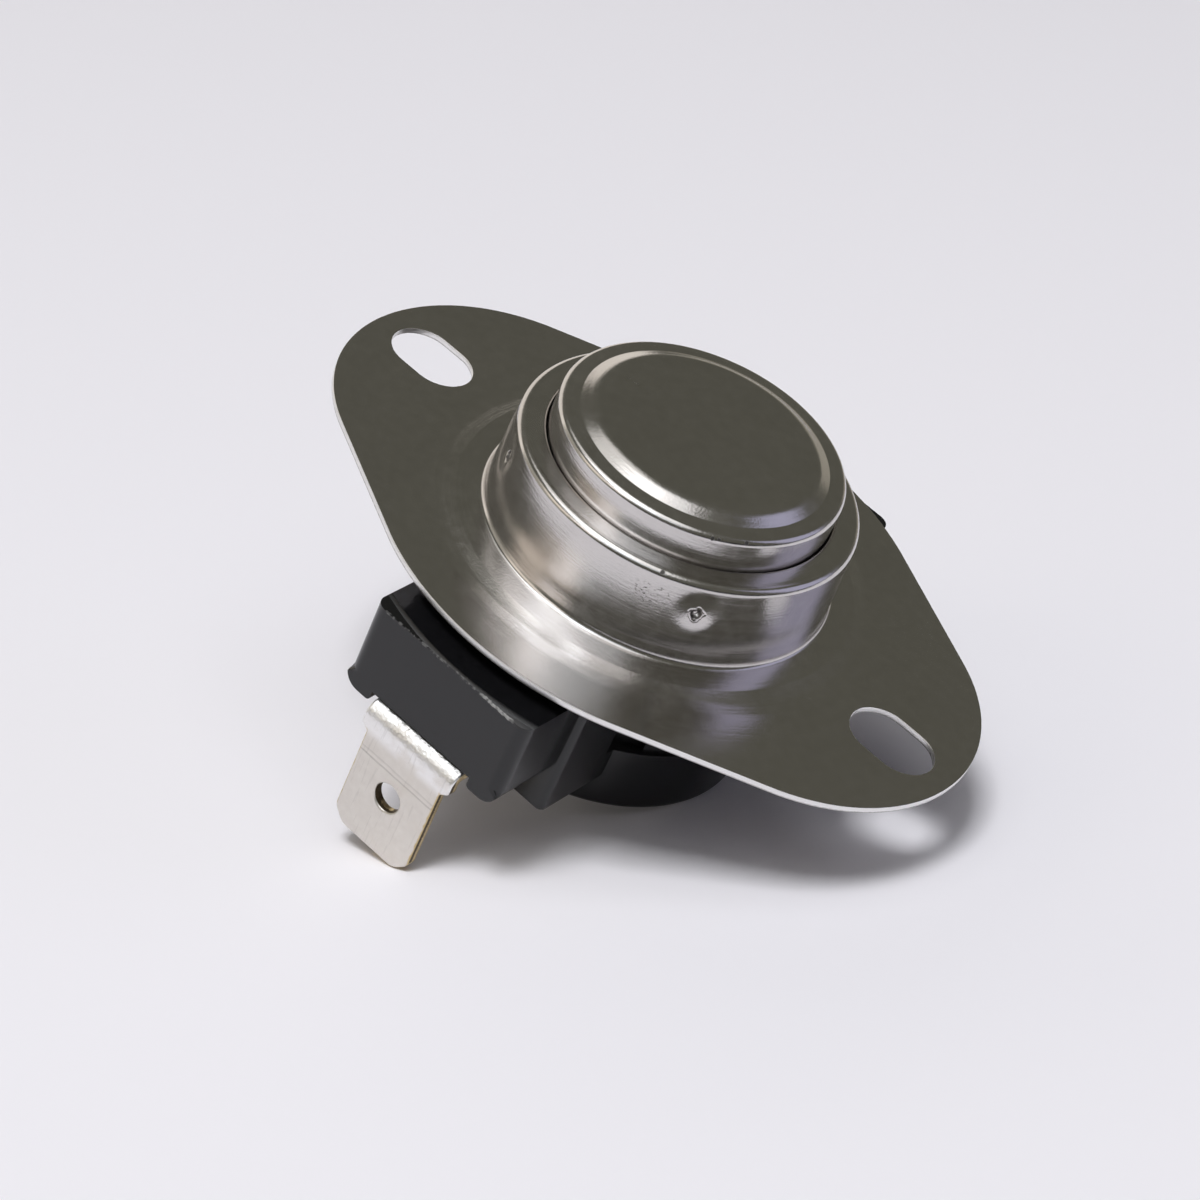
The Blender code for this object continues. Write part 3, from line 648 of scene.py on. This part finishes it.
in_blade = Matrix.Translation(Vector((0, BLADE_MIDDLE, HOLE_HEIGHT)) * MM)
drill(strip, BLADE_HOLE, in_blade @ Matrix.Rotation(math.pi / 2, 4, "X"))
drill(strip, 1.0, Matrix.Translation(Vector((0, -RIVET_MIDDLE, FOOT_MIDDLE)) * MM))

# %% Two terminals from one strip
rear_strip = strip.copy()
rear_strip.data = strip.data.copy()
rear_strip.name = "rear_blade_strip"
bpy.context.scene.collection.objects.link(rear_strip)
rear_strip.data.transform(Matrix.Rotation(math.pi, 4, "Z"))
pick(rear_strip, "VERT", lambda co, n: abs(co.y + FOOT_END * MM) < 1e-5)
bpy.ops.transform.translate(value=(0, 1.0 * MM, 0))
leave()
for piece in (strip, rear_strip):
    round_edges(piece, 0.35, 4, lambda co, along: abs(along.normalized().y) > 0.9 and co.z < -15.9 * MM)
CONTACT_MIDDLE = -4.6
ARM_RIVET_MIDDLE = 5.6
drill(strip, 0.7, Matrix.Translation(Vector((0, CONTACT_MIDDLE, FOOT_MIDDLE)) * MM))
drill(rear_strip, 1.0, Matrix.Translation(Vector((0, ARM_RIVET_MIDDLE, FOOT_MIDDLE)) * MM))
for piece in (strip, rear_strip):
    modify(piece, "BEVEL", width=0.16 * MM, segments=4, limit_method="ANGLE", angle_limit=math.radians(40))
    smooth(piece, 30)
    report(piece)

# %% [markdown]
# ## Rivets under the blocks
# Two headed rivets hold the strips up in the blocks. The photograph doesn't show them, so they are kept
# plain. One is turned from its section and copied.

# %% Rivets
RIVET_RADIUS = 0.9
HEAD_RADIUS = 1.7
HEAD_BOTTOM = -8.85
HEAD_TOP = -8.35
RIVET_TOP = -3.0
rivet = draw_section("front_strip_rivet", [
    (0, HEAD_BOTTOM),
    (1.275, HEAD_BOTTOM, 0.25),
    (HEAD_RADIUS, -8.55, 0.2),
    (HEAD_RADIUS, HEAD_TOP),
    (RIVET_RADIUS, HEAD_TOP),
    (RIVET_RADIUS, -3.3),
    (0.6, RIVET_TOP),
    (0, RIVET_TOP),
])
turn_round(rivet, 64)
rear_rivet = rivet.copy()
rear_rivet.data = rivet.data.copy()
rear_rivet.name = "rear_strip_rivet"
bpy.context.scene.collection.objects.link(rear_rivet)
rivet.data.transform(Matrix.Translation((0, -RIVET_MIDDLE * MM, 0)))
rear_rivet.data.transform(Matrix.Translation((0, RIVET_MIDDLE * MM, 0)))
for piece in (rivet, rear_rivet):
    smooth(piece, 40)
    report(piece)


# %% [markdown]
# ## Finishes
# A finish is a small graph of nodes. Writing sums as sums keeps it readable, so one class wraps a node's
# output and turns + - * ** and abs() into Math nodes, and one method adds any other node.

# %% Node sums
class Wire:
    """A node's output that can stand in a sum."""

    def __init__(self, finish, socket):
        self.finish = finish
        self.socket = socket

    def sum(self, operation, first, second):
        """One Math node."""
        return self.finish.node("ShaderNodeMath", {"operation": operation}, {0: first, 1: second})

    def __add__(self, other):
        return self.sum("ADD", self, other)

    def __sub__(self, other):
        return self.sum("SUBTRACT", self, other)

    def __mul__(self, other):
        return self.sum("MULTIPLY", self, other)

    def __rsub__(self, other):
        return self.sum("SUBTRACT", other, self)

    def __pow__(self, other):
        return self.sum("POWER", self, other)

    def __abs__(self):
        return self.sum("ABSOLUTE", self, 0.0)

    __radd__ = __add__
    __rmul__ = __mul__


class Finish:
    """A material and the nodes that feed its Principled shader."""

    def __init__(self, name, **constants):
        self.material = bpy.data.materials.new(name)
        self.material.use_nodes = True
        self.tree = self.material.node_tree
        self.shader = self.tree.nodes["Principled BSDF"]
        for key, value in constants.items():
            self.shader.inputs[key.replace("_", " ").title().replace("Ior", "IOR")].default_value = value
        place = self.node("ShaderNodeTexCoord", output="Object")
        self.place = self.node("ShaderNodeVectorMath", {"operation": "SCALE"}, {0: place, "Scale": 1 / MM})
        split = self.node("ShaderNodeSeparateXYZ", None, {0: self.place}).socket.node
        self.x, self.y, self.z = (Wire(self, split.outputs[k]) for k in range(3))

    def plug(self, socket, value):
        """Link a wire, or set a number or colour."""
        if isinstance(value, Wire):
            self.tree.links.new(value.socket, socket)
        else:
            socket.default_value = value

    def node(self, kind, settings=None, sockets=None, output=0):
        """Add a node: its settings first, then the values or wires of its sockets."""
        made = self.tree.nodes.new(kind)
        for key, value in (settings or {}).items():
            if key == "stops":
                ramp = made.color_ramp
                while len(ramp.elements) < len(value):
                    ramp.elements.new(0.5)
                for stop, (position, colour) in zip(ramp.elements, value):
                    stop.position = position
                    stop.color = colour if isinstance(colour, tuple) else (colour, colour, colour, 1)
            else:
                setattr(made, key, value)
        for key, value in (sockets or {}).items():
            self.plug(made.inputs[key], value)
        return Wire(self, made.outputs[output])

    def noise(self, scale, detail=2.0, stretch=(1, 1, 1), turn=0.0, offset=(0, 0, 0), over=None):
        """Noise from 0 to 1. scale is in waves per mm; stretch squeezes it along an axis."""
        place = self.node("ShaderNodeMapping", None, {
            "Vector": over or self.place, "Location": offset, "Rotation": (0, 0, turn), "Scale": stretch,
        })
        return self.node("ShaderNodeTexNoise", {"noise_dimensions": "3D"}, {
            "Vector": place, "Scale": scale, "Detail": detail, "Roughness": 0.55,
        })

    def distance(self, middle):
        """Distance in mm from a place."""
        ends = {0: self.place, 1: middle}
        return self.node("ShaderNodeVectorMath", {"operation": "DISTANCE"}, ends, output=1)

    def spot(self, middle, inner, outer):
        """1 within the inner distance of a place in mm, 0 beyond the outer one."""
        return self.between(self.distance(middle), inner, outer, 1.0, 0.0)

    def between(self, value, low, high, start=0.0, end=1.0):
        """Smooth change from start to end as value goes from low to high."""
        return self.node("ShaderNodeMapRange", {"interpolation_type": "SMOOTHSTEP", "clamp": True}, {
            "Value": value, "From Min": low, "From Max": high, "To Min": start, "To Max": end,
        })

    def blend(self, factor, first, second):
        """Colour between two colours."""
        return self.node("ShaderNodeMix", {"data_type": "RGBA"}, {
            "Factor": factor, 6: first, 7: second,
        }, output=2)

    def bump(self, height, micrometres):
        """Normal from a height between 0 and 1 that stands for this many thousandths of a millimetre."""
        return self.node("ShaderNodeBump", {"invert": False}, {
            "Height": height, "Distance": micrometres * 1e-6, "Strength": 1.0,
        })

    def set(self, **wires):
        """Feed these sockets of the shader and give back the material."""
        for key, value in wires.items():
            self.plug(self.shader.inputs[key.replace("_", " ").title()], value)
        return self.material


# %% [markdown]
# ## Drawn steel
# Close to, the sheet isn't smooth: the press left slow waves, a grain as fine as sand, and faint lines round
# the axis where the tool rubbed. All three go into the bump. Slow clouds and a finer mottle break the colour
# and change the roughness a little, which stays low enough for one part to show in another as in a dull
# mirror. Handling left nicks and dark specks in a few places. A dark ring in each pit is painted shade on
# the pit's wall. The sheet's cut rim was sheared; its colour is darker towards its lower side, and it gets a
# finish of its own.

# %% Steel
# dark colour for the real specks and nicks, and for the painted shade in the pits
SOIL_AND_SHADE = (0.05, 0.045, 0.04, 1)
PIT_SHADE_RING = 0.27
RELIEF = 30.0


def steel(name, tint, polish, nicks, scuffs, shaded_pits=()):
    """Satin sheet steel. Nicks and scuffs are (x, y, z, radius) in mm; shaded_pits are the pits' middles,
    each ringed with painted shade.
    """
    finish = Finish(name, metallic=1.0)
    cloud = finish.noise(0.12, 3.0)
    wave = finish.noise(0.33, 2.0)
    grain = finish.noise(6.0, 4.0)
    mottle = finish.noise(1.3, 4.0, offset=(7, 3, 0))
    reach = (finish.x * finish.x + finish.y * finish.y) ** 0.5
    angle = finish.node("ShaderNodeMath", {"operation": "ARCTAN2"}, {0: finish.y, 1: finish.x})
    turned = finish.node("ShaderNodeCombineXYZ", None, {0: reach, 1: finish.z, 2: angle * 1.5})
    rubbed = finish.noise(6.0, 3.0, over=turned, stretch=(1, 1, 0.25))
    specks = finish.noise(4.0, 4.0, offset=(5, 1, 2), stretch=(1, 1, 2))
    speckle = finish.between(specks, 0.57, 0.66, 0.0, 0.6)
    soil_and_shade = 0.0
    for *place, radius in scuffs:
        soil_and_shade = soil_and_shade + speckle * finish.spot(place, 0.3 * radius, radius)
    ragged = finish.noise(6.0, 2.0) - 0.5
    for *place, radius in nicks:
        soil_and_shade = soil_and_shade + finish.between(finish.spot(place, 0.2 * radius, 1.6 * radius) + ragged, 0.45, 0.6)
    # a ring of painted shade on the wall of each pit
    for pit in shaded_pits:
        away = abs(finish.distance(pit) + 0.3 * ragged - PIT_SHADE_RING)
        soil_and_shade = soil_and_shade + finish.between(away, 0.04, 0.13, 1.0, 0.0)
    soil_and_shade = finish.between(soil_and_shade, 0.0, 1.0)
    dark = tuple(c * 0.84 for c in tint[:3]) + (1,)
    clean = finish.blend(0.4 * cloud + 0.6 * mottle, dark, tint)
    uneven = 0.08 * (cloud - 0.5) + 0.12 * (mottle - 0.5) + 0.10 * (rubbed - 0.5)
    return finish.set(
        base_color=finish.blend(soil_and_shade * 0.85, clean, SOIL_AND_SHADE),
        roughness=polish + uneven + 0.3 * soil_and_shade,
        normal=finish.bump(0.25 * wave + 0.22 * grain + 0.20 * rubbed - 0.3 * soil_and_shade, RELIEF),
    )


PLATE_NICKS = [(5.53, -9.89, 6.46, 0.16)]
PLATE_SCUFFS = [(4.98, -10.45, 4.74, 1.1), (5.9, -9.97, 4.7, 1.4)]
CAP_NICKS = [(6.35, -7.14, 8.76, 0.15), (6.65, -6.85, 8.78, 0.12), (7.8, -5.43, 8.83, 0.16)]
CAP_SCUFFS = [(-5.78, -0.74, 9.52, 0.8), (-7.41, -2.04, 9.39, 0.5)]
SATIN = (0.70, 0.675, 0.66, 1)
POLISH = 0.19
pits_in_mm = [pit / MM for pit in pits]
plate_finish = steel("satin_plate_steel", SATIN, POLISH, PLATE_NICKS, PLATE_SCUFFS, pits_in_mm)
cap_finish = steel("satin_cap_steel", SATIN, POLISH, CAP_NICKS, CAP_SCUFFS)

# %% The sheet's cut rim
LOWER_RIM_STEEL = (0.42, 0.41, 0.40, 1)
UPPER_RIM_STEEL = (0.88, 0.87, 0.86, 1)
sheared = Finish("sheared_edge", metallic=1.0)
teeth = sheared.noise(4.0, 3.0, stretch=(1, 1, 0.2))
# the rim's colour is darker towards its lower side
upper_rim = sheared.between(sheared.z + 0.1 * teeth, -0.36, -0.24)
edge_finish = sheared.set(
    base_color=sheared.blend(upper_rim, LOWER_RIM_STEEL, UPPER_RIM_STEEL),
    roughness=0.42 + 0.12 * (teeth - 0.5),
    normal=sheared.bump(teeth, 6.0),
)

# %% [markdown]
# ## Black moulding
# The housing is a filled resin, nearly black, with a faint speck in it. The top of each block is glossy
# enough to mirror the plate's rim, and the other faces are duller. Along the front block's top edge a thin
# pale line is a painted highlight, and one wider place is chafed and pale. The distance from that edge, made
# ragged by noise, says where.

# %% Black moulding
RESIN_DARK = (0.003, 0.003, 0.0035, 1)
RESIN_LIGHT = (0.009, 0.009, 0.010, 1)
CHAFE_AND_HIGHLIGHT_RESIN = (0.30, 0.30, 0.29, 1)
SIDE_ROUGHNESS = 0.23
TOP_ROUGHNESS = 0.04
EDGE_HEIGHT = 1.6
EDGE_FRONT = 19.94
black = Finish("black_phenolic", ior=1.5)
speck = black.noise(2.2, 4.0)
pores = black.noise(9.0, 2.0)
top_face = black.between(black.z, -1.62, -1.56)
above = black.z + EDGE_HEIGHT
outside = black.y + EDGE_FRONT
ragged_edge = (above * above + outside * outside) ** 0.5 + 0.26 * (black.noise(4.0, 4.0) - 0.5)
along_edge = black.between(abs(black.x + 0.4), 5.2, 5.6, 1.0, 0.0)
worn_place = black.between(abs(black.x - 4.0), 0.9, 1.6, 1.0, 0.0)
# the thin pale line along the edge is a painted highlight; the wider place is chafe
painted_edge_highlight = black.between(ragged_edge, 0.03, 0.08, 0.4, 0.0) * along_edge
wide_chafe = black.between(ragged_edge, 0.06, 0.14, 0.8, 0.0) * worn_place
chafe_and_highlight = black.between(painted_edge_highlight + wide_chafe, 0.0, 1.0)
resin = black.blend(speck, RESIN_DARK, RESIN_LIGHT)
dulled = black.between(black.z, -1.62, -1.56, SIDE_ROUGHNESS, TOP_ROUGHNESS)
black_finish = black.set(
    base_color=black.blend(chafe_and_highlight, resin, CHAFE_AND_HIGHLIGHT_RESIN),
    roughness=dulled + 0.05 * (speck - 0.3) + 0.3 * chafe_and_highlight,
    normal=black.bump((0.6 - 0.4 * top_face) * speck + 0.3 * pores + 0.8 * chafe_and_highlight, 1.0),
)

# %% [markdown]
# ## Tinned brass and bare brass
# The blades are tinned brass strip. Their faces are a dull silver and their cut edges are yellow, as on a
# strip that was tinned before it was stamped. The bend is coarser than the blade and is painted lighter, a
# painted highlight. Two fine creases cross the blade below it and are darkened as painted shade, and the tin
# is worn through at the long edges. The cut edges have a finish of their own, with painted shade at the
# tip's underside and on the lower side of the hole.

# %% Tinned brass
BARE_BRASS = (0.58, 0.45, 0.24, 1)
TIN_DARK = (0.64, 0.60, 0.55, 1)
TIN_LIGHT = (0.78, 0.75, 0.70, 1)
BEND_HIGHLIGHT_TIN = (0.90, 0.89, 0.88, 1)
STAINED_TIN = (0.66, 0.61, 0.54, 1)
SCRATCH_AND_CREASE_SHADE = (0.2, 0.18, 0.16, 1)
CREASE_HEIGHT = 10.75
tin = Finish("tinned_brass", metallic=1.0)
mottle = tin.noise(1.6, 4.0)
fine = tin.noise(3.6, 4.0)
stain = tin.noise(0.55, 3.0, offset=(3, 0, 7))
bent = tin.between(tin.z, -9.9, -9.0)
worn = tin.between(abs(tin.x) + 0.25 * mottle, 3.16, 3.26) * tin.between(tin.z, -9.2, -9.6)
metal = tin.blend(mottle, TIN_DARK, TIN_LIGHT)
# the bend is painted lighter here: a painted highlight
metal = tin.blend(bent, metal, BEND_HIGHLIGHT_TIN)
stained = tin.blend(tin.between(stain, 0.50, 0.72, 0.0, 0.45), metal, STAINED_TIN)
creased = tin.z + CREASE_HEIGHT + 0.25 * tin.noise(0.5, 2.0)
first_crease = tin.between(abs(creased), 0.03, 0.10, 1.0, 0.0)
second_crease = tin.between(abs(creased - 0.35), 0.03, 0.10, 0.6, 0.0)
crease = first_crease + second_crease
scratch = tin.between(tin.noise(1.1, 2.0, stretch=(5, 1, 0.35), turn=0.6), 0.62, 0.66)
# the creases are darkened as painted shade; the scratches are real dark marks
lined = tin.blend(0.3 * crease + 0.1 * scratch, stained, SCRATCH_AND_CREASE_SHADE)
tin_finish = tin.set(
    base_color=tin.blend(worn, lined, BARE_BRASS),
    roughness=0.33 + 0.12 * (mottle - 0.5) + 0.05 * fine,
    normal=tin.bump(0.07 * mottle + (0.6 + 2.2 * bent) * fine - 0.35 * crease - 0.12 * scratch, 25.0),
)

# %% Cut edges of the brass
BRASS_DARK = (0.55, 0.42, 0.22, 1)
BRASS_LIGHT = (0.86, 0.72, 0.44, 1)
SHADED_BRASS = (0.05, 0.035, 0.025, 1)
brass = Finish("cut_brass", metallic=1.0)
tear = brass.noise(3.0, 3.0, stretch=(1, 1, 4))
# painted shade: darker on the lower side of the hole and at the tip's underside
in_bore = brass.spot((0, BLADE_MIDDLE, HOLE_HEIGHT), 1.05, 1.1)
in_bore = in_bore * brass.between(brass.z + 0.3 * tear, -13.5, -13.3)
shaded_brass_part = brass.between(abs(brass.y) + 0.3 * tear, 20.42, 20.56)
shaded_brass_part = brass.between(shaded_brass_part * brass.between(brass.z, -15.9, -15.7) + in_bore, 0.0, 1.0)
cut_colour = brass.blend(tear, BRASS_DARK, BRASS_LIGHT)
brass_finish = brass.set(
    base_color=brass.blend(shaded_brass_part * 0.9, cut_colour, SHADED_BRASS),
    roughness=0.30 + 0.15 * tear + 0.2 * shaded_brass_part,
    normal=brass.bump(tear, 4.0),
)


# %% [markdown]
# ## Finishes of the inner pieces
# Seven pieces inside are the CAD's own. No view from outside shows them, so each gets a modest finish on its
# material slot: a mottled colour, a little change of roughness and a fine grain.

# %% Finishes of the inner pieces
def plain(name, dark, light, roughness, metallic, depth):
    """A finish for a piece that is mostly out of sight: mottled colour, fine grain."""
    finish = Finish(name, metallic=metallic)
    cloud = finish.noise(0.9, 3.0)
    grain = finish.noise(6.0, 2.0)
    return finish.set(
        base_color=finish.blend(cloud, dark, light),
        roughness=roughness + 0.12 * (cloud - 0.5),
        normal=finish.bump(grain, depth),
    )


inner_finishes = {
    "bimetal_disc": plain("rolled_bimetal", (0.50, 0.47, 0.43, 1), (0.62, 0.59, 0.55, 1), 0.28, 1.0, 1.0),
    "pin_guide": plain("brown_phenolic", (0.09, 0.045, 0.022, 1), (0.16, 0.085, 0.045, 1), 0.5, 0.0, 6.0),
    "transfer_pin": plain("fired_ceramic", (0.72, 0.69, 0.62, 1), (0.82, 0.80, 0.74, 1), 0.4, 0.0, 3.0),
    "spring_arm": plain("rolled_copper_leaf", (0.62, 0.34, 0.18, 1), (0.80, 0.49, 0.30, 1), 0.28, 1.0, 1.0),
    "moving_contact": plain("silver_contact", (0.78, 0.77, 0.74, 1), (0.90, 0.89, 0.87, 1), 0.22, 1.0, 1.0),
    "arm_rivet": plain("headed_brass", (0.62, 0.44, 0.19, 1), (0.80, 0.60, 0.30, 1), 0.3, 1.0, 2.0),
}
inner_finishes["fixed_contact"] = inner_finishes["moving_contact"]
for node, material in inner_finishes.items():
    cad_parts[node].data.materials.clear()
    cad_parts[node].data.materials.append(material)
print("finished inner pieces:", ", ".join(inner_finishes))

# %% [markdown]
# ## Assigning the finishes
# Each new piece gets its materials, rides on a body and stands for a CAD node. A sheet and a strip have two
# finishes each. Which face was cut is plain from where it lies and where it points.

# %% Assigning the finishes
def wear(piece, materials, body, slot, *nodes):
    """Give a piece its materials and body, and hide the CAD nodes that it stands for. slot is not used."""
    piece.data.materials.clear()
    for material in materials:
        piece.data.materials.append(material)
    for polygon in piece.data.polygons:
        polygon.material_index = 0
    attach(piece, body)
    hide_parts(*nodes)


wear(flange, [plate_finish, edge_finish], "base", "plate_steel", "mounting_flange")
wear(cap, [cap_finish], "base", "cap_steel", "sensing_cap")
wear(housing, [black_finish], "base", "black_moulding", "switch_housing")
wear(strip, [tin_finish, brass_finish], "base", "tinned_brass", "front_terminal")
wear(rear_strip, [tin_finish, brass_finish], "base", "tinned_brass", "rear_terminal")
wear(rivet, [brass_finish], "base", "rivet_brass", "front_terminal_rivet")
wear(rear_rivet, [brass_finish], "base", "rivet_brass", "rear_terminal_rivet")
CUT_FACES = 1
for polygon in flange.data.polygons:
    middle = polygon.center / MM
    upright_face = abs(polygon.normal.z) < 0.4
    if upright_face and -SHEET < middle.z < 0 and middle.xy.length > PLATE_START:
        polygon.material_index = CUT_FACES
for piece in (strip, rear_strip):
    bare = 0
    for polygon in piece.data.polygons:
        middle = polygon.center / MM
        normal = polygon.normal
        near_hole = math.hypot(middle.x, middle.z - HOLE_HEIGHT) < BLADE_HOLE + 0.02
        at_side_edge = abs(normal.x) > 0.9
        in_hole = near_hole and abs(normal.y) < 0.3
        at_tip = normal.z < -0.6 and middle.z < -15.9
        if at_side_edge or in_hole or at_tip:
            polygon.material_index = CUT_FACES
            bare += 1
    print(piece.name, "has", bare, "faces of bare brass")

# %% [markdown]
# ## Floor and studio
# The part isn't made to stand: it lies on both blades' tips and on the moulding's lower edge, tilted about
# its own Y axis. The floor is laid through those points and the part keeps its frame. The paper is matt, and
# see-through from below, so that a view from there still shows the part. The steel in the photograph is
# darker at the front than paper would make it, so it probably mirrored something dark beyond the paper.
# Here reflections, and nothing else, see a dim dark glow beyond the paper's edge towards the front right: a
# painted dark reflection.

# %% Floor
TIP = Vector((2.255, -17.0))
EDGE_MIDDLE = Vector((10.6, -12.8))
EDGE_ROUND = 0.4
span = EDGE_MIDDLE - TIP
tilt = math.atan2(span.y, span.x) - math.asin(EDGE_ROUND / span.length)
up = Vector((-math.sin(tilt), 0, math.cos(tilt)))
floor_point = Vector((TIP.x, 0, TIP.y)) * MM
print(f"the floor leans {math.degrees(tilt):.2f} degrees in the part's frame")

forwards = -camera_back - (-camera_back).dot(up) * up
forwards.normalize()
rightwards = forwards.cross(up)
FLOOR_SIZE = 4.0
deselect()
level = up.to_track_quat("Z", "Y").to_euler()
bpy.ops.mesh.primitive_plane_add(size=FLOOR_SIZE, location=floor_point, rotation=level)
floor = bpy.context.object
floor.name = "studio_floor"

# %% Pale paper with a painted dark reflection beyond it
PAPER = (0.845, 0.84, 0.875, 1)
DARK_REFLECTION = (0.03, 0.03, 0.03, 1)
DARK_REFLECTION_AZIMUTH = 150
PAPER_END = 0.05
PAPER_FADE = 0.03
paper = Finish("pale_paper", roughness=0.9, specular_ior_level=0.0)
paper.shader.inputs["Base Color"].default_value = PAPER
behind = paper.node("ShaderNodeNewGeometry", output="Backfacing")
see_through = paper.node("ShaderNodeBsdfTransparent")
out = paper.tree.nodes["Material Output"]
position = paper.node("ShaderNodeNewGeometry", output="Position")
aside = math.radians(DARK_REFLECTION_AZIMUTH)
front_right = tuple(forwards * math.cos(aside) + rightwards * math.sin(aside))
both = {0: position, 1: front_right}
in_front = paper.node("ShaderNodeVectorMath", {"operation": "DOT_PRODUCT"}, both, output=1)
mirrored = paper.node("ShaderNodeLightPath", output="Is Glossy Ray")
beyond = mirrored * paper.between(in_front, PAPER_END, PAPER_END + PAPER_FADE)
# painted dark reflection: only glossy rays see it, beyond the paper's end
painted_dark_reflection = paper.node("ShaderNodeEmission", None, {"Color": DARK_REFLECTION})
matt_paper = Wire(paper, paper.shader.outputs[0])
covered = paper.node("ShaderNodeMixShader", None, {0: beyond, 1: matt_paper, 2: painted_dark_reflection})
mixed = paper.node("ShaderNodeMixShader", None, {0: behind, 1: covered, 2: see_through})
paper.tree.links.new(mixed.socket, out.inputs["Surface"])
floor.data.materials.append(paper.material)

# %% [markdown]
# ## Lamps
# The photograph's shadow is soft at its edge but clear, and falls away from the camera, as from one box
# high up on the camera's side. Steel shows each lamp's shape, so the other boxes are placed by the highlight
# that they make. The key is two lamps in one place. key_box gives the light and the shadow, and reflections
# don't see it. key_glow is wider and much weaker and makes the highlight, because one lamp for both burns
# the steel out or loses the shadow. A lamp that is hidden from diffuse light shows in the steel alone.

# %% Setting a lamp
LAMP_DISTANCE = 1.5


def towards(azimuth, elevation):
    """Direction seen from the part: azimuth 0 is away from the camera, 90 is to its right."""
    a, e = math.radians(azimuth), math.radians(elevation)
    return (forwards * math.cos(a) + rightwards * math.sin(a)) * math.cos(e) + up * math.sin(e)


def softbox(name, azimuth, elevation, wide, high, colour, radiance, hidden_from=()):
    """Rectangular lamp that faces the part. wide and high are the angles that it fills, in degrees.

    The rays named in hidden_from don't see it, such as glossy or diffuse.
    """
    lamp = bpy.data.lights.new(name, "AREA")
    lamp.shape = "RECTANGLE"
    lamp.size = 2 * LAMP_DISTANCE * math.tan(math.radians(wide) / 2)
    lamp.size_y = 2 * LAMP_DISTANCE * math.tan(math.radians(high) / 2)
    lamp.color = colour
    lamp.energy = radiance * math.pi * lamp.size * lamp.size_y
    thing = bpy.data.objects.new(name, lamp)
    direction = towards(azimuth, elevation)
    across = direction.cross(up).normalized()
    rise = across.cross(direction).normalized()
    facing = Matrix((-across, rise, direction)).transposed().to_4x4()
    thing.matrix_world = Matrix.Translation(direction * LAMP_DISTANCE) @ facing
    bpy.context.scene.collection.objects.link(thing)
    for sight in hidden_from:
        setattr(thing, f"visible_{sight}", False)
    print(f"{name}: azimuth {azimuth}, elevation {elevation}, {lamp.energy:.2f} W")


# %% Ten lamps
softbox("key_box", -166, 62.5, 16, 16, (1, 1, 1.02), 26.0, ["glossy"])
softbox("key_glow", -166, 62.5, 24, 24, (0.92, 1, 1.08), 3.0, ["diffuse"])
softbox("main_box", -178, 67, 56, 48, (1, 1, 1.02), 1.15)
softbox("top_box", 0, 88, 34, 34, (1, 0.99, 0.97), 0.8, ["diffuse"])
softbox("behind_box", -162, 36, 56, 14, (0.94, 1, 1.08), 0.85, ["diffuse"])
softbox("left_box", -122, 33, 44, 26, (1, 0.88, 0.77), 0.7)
softbox("left_wall", -88, 20, 62, 42, (1, 0.95, 0.84), 0.3)
softbox("back_wall", -28, 20, 66, 42, (1, 0.93, 0.86), 0.8)
softbox("right_box", 88, 20, 32, 42, (0.85, 0.85, 1.25), 0.46)
softbox("far_box", 28, 8, 40, 16, (1, 0.92, 0.78), 0.27)

# %% [markdown]
# Sheet steel shows the room. The flats in the photograph are dark although the paper is pale, so the room
# round the lamps was probably dark. A large dark grey ball stands for it. Only reflections see it.

# %% Dark curtain
CURTAIN_RADIUS = 1.8
CURTAIN = (0.11, 0.108, 0.088, 1)
deselect()
bpy.ops.mesh.primitive_uv_sphere_add(segments=48, ring_count=24, radius=CURTAIN_RADIUS, location=floor_point)
curtain = bpy.context.object
curtain.name = "dark_curtain"
cloth = bpy.data.materials.new("grey_curtain")
cloth.use_nodes = True
glow = cloth.node_tree.nodes.new("ShaderNodeEmission")
glow.inputs["Color"].default_value = CURTAIN
cloth.node_tree.links.new(glow.outputs[0], cloth.node_tree.nodes["Material Output"].inputs["Surface"])
curtain.data.materials.append(cloth)
for sight in ("camera", "diffuse", "transmission", "volume_scatter", "shadow"):
    setattr(curtain, f"visible_{sight}", False)

# %% [markdown]
# The world has two faces. The camera, reflections and glass see a pale grey-blue, so that the background is
# plain where the floor ends, though for reflections the curtain stands in front of it. Everything else gets
# a very weak grey light from it, so that the lamps make the shadow.

# %% Room
PALE = (0.76, 0.76, 0.80, 1)
DIM = (0.03, 0.03, 0.03, 1)
room = bpy.data.worlds.new("room")
bpy.context.scene.world = room
room.use_nodes = True
nodes = room.node_tree.nodes
links = room.node_tree.links
back = nodes["Background"]
pale = nodes.new("ShaderNodeBackground")
pale.inputs["Color"].default_value = PALE
back.inputs["Color"].default_value = DIM
path = nodes.new("ShaderNodeLightPath")
seen = path.outputs["Is Camera Ray"]
for ray in ("Is Glossy Ray", "Is Transmission Ray"):
    either = nodes.new("ShaderNodeMath")
    either.operation = "MAXIMUM"
    links.new(seen, either.inputs[0])
    links.new(path.outputs[ray], either.inputs[1])
    seen = either.outputs[0]
choose = nodes.new("ShaderNodeMixShader")
links.new(seen, choose.inputs[0])
links.new(back.outputs[0], choose.inputs[1])
links.new(pale.outputs[0], choose.inputs[2])
links.new(choose.outputs[0], nodes["World Output"].inputs["Surface"])

# %% [markdown]
# ## Closing
# The view transform is plain, so that a colour comes out about as it is written.

# %% Output
bpy.context.scene.view_settings.view_transform = "Standard"
deselect()
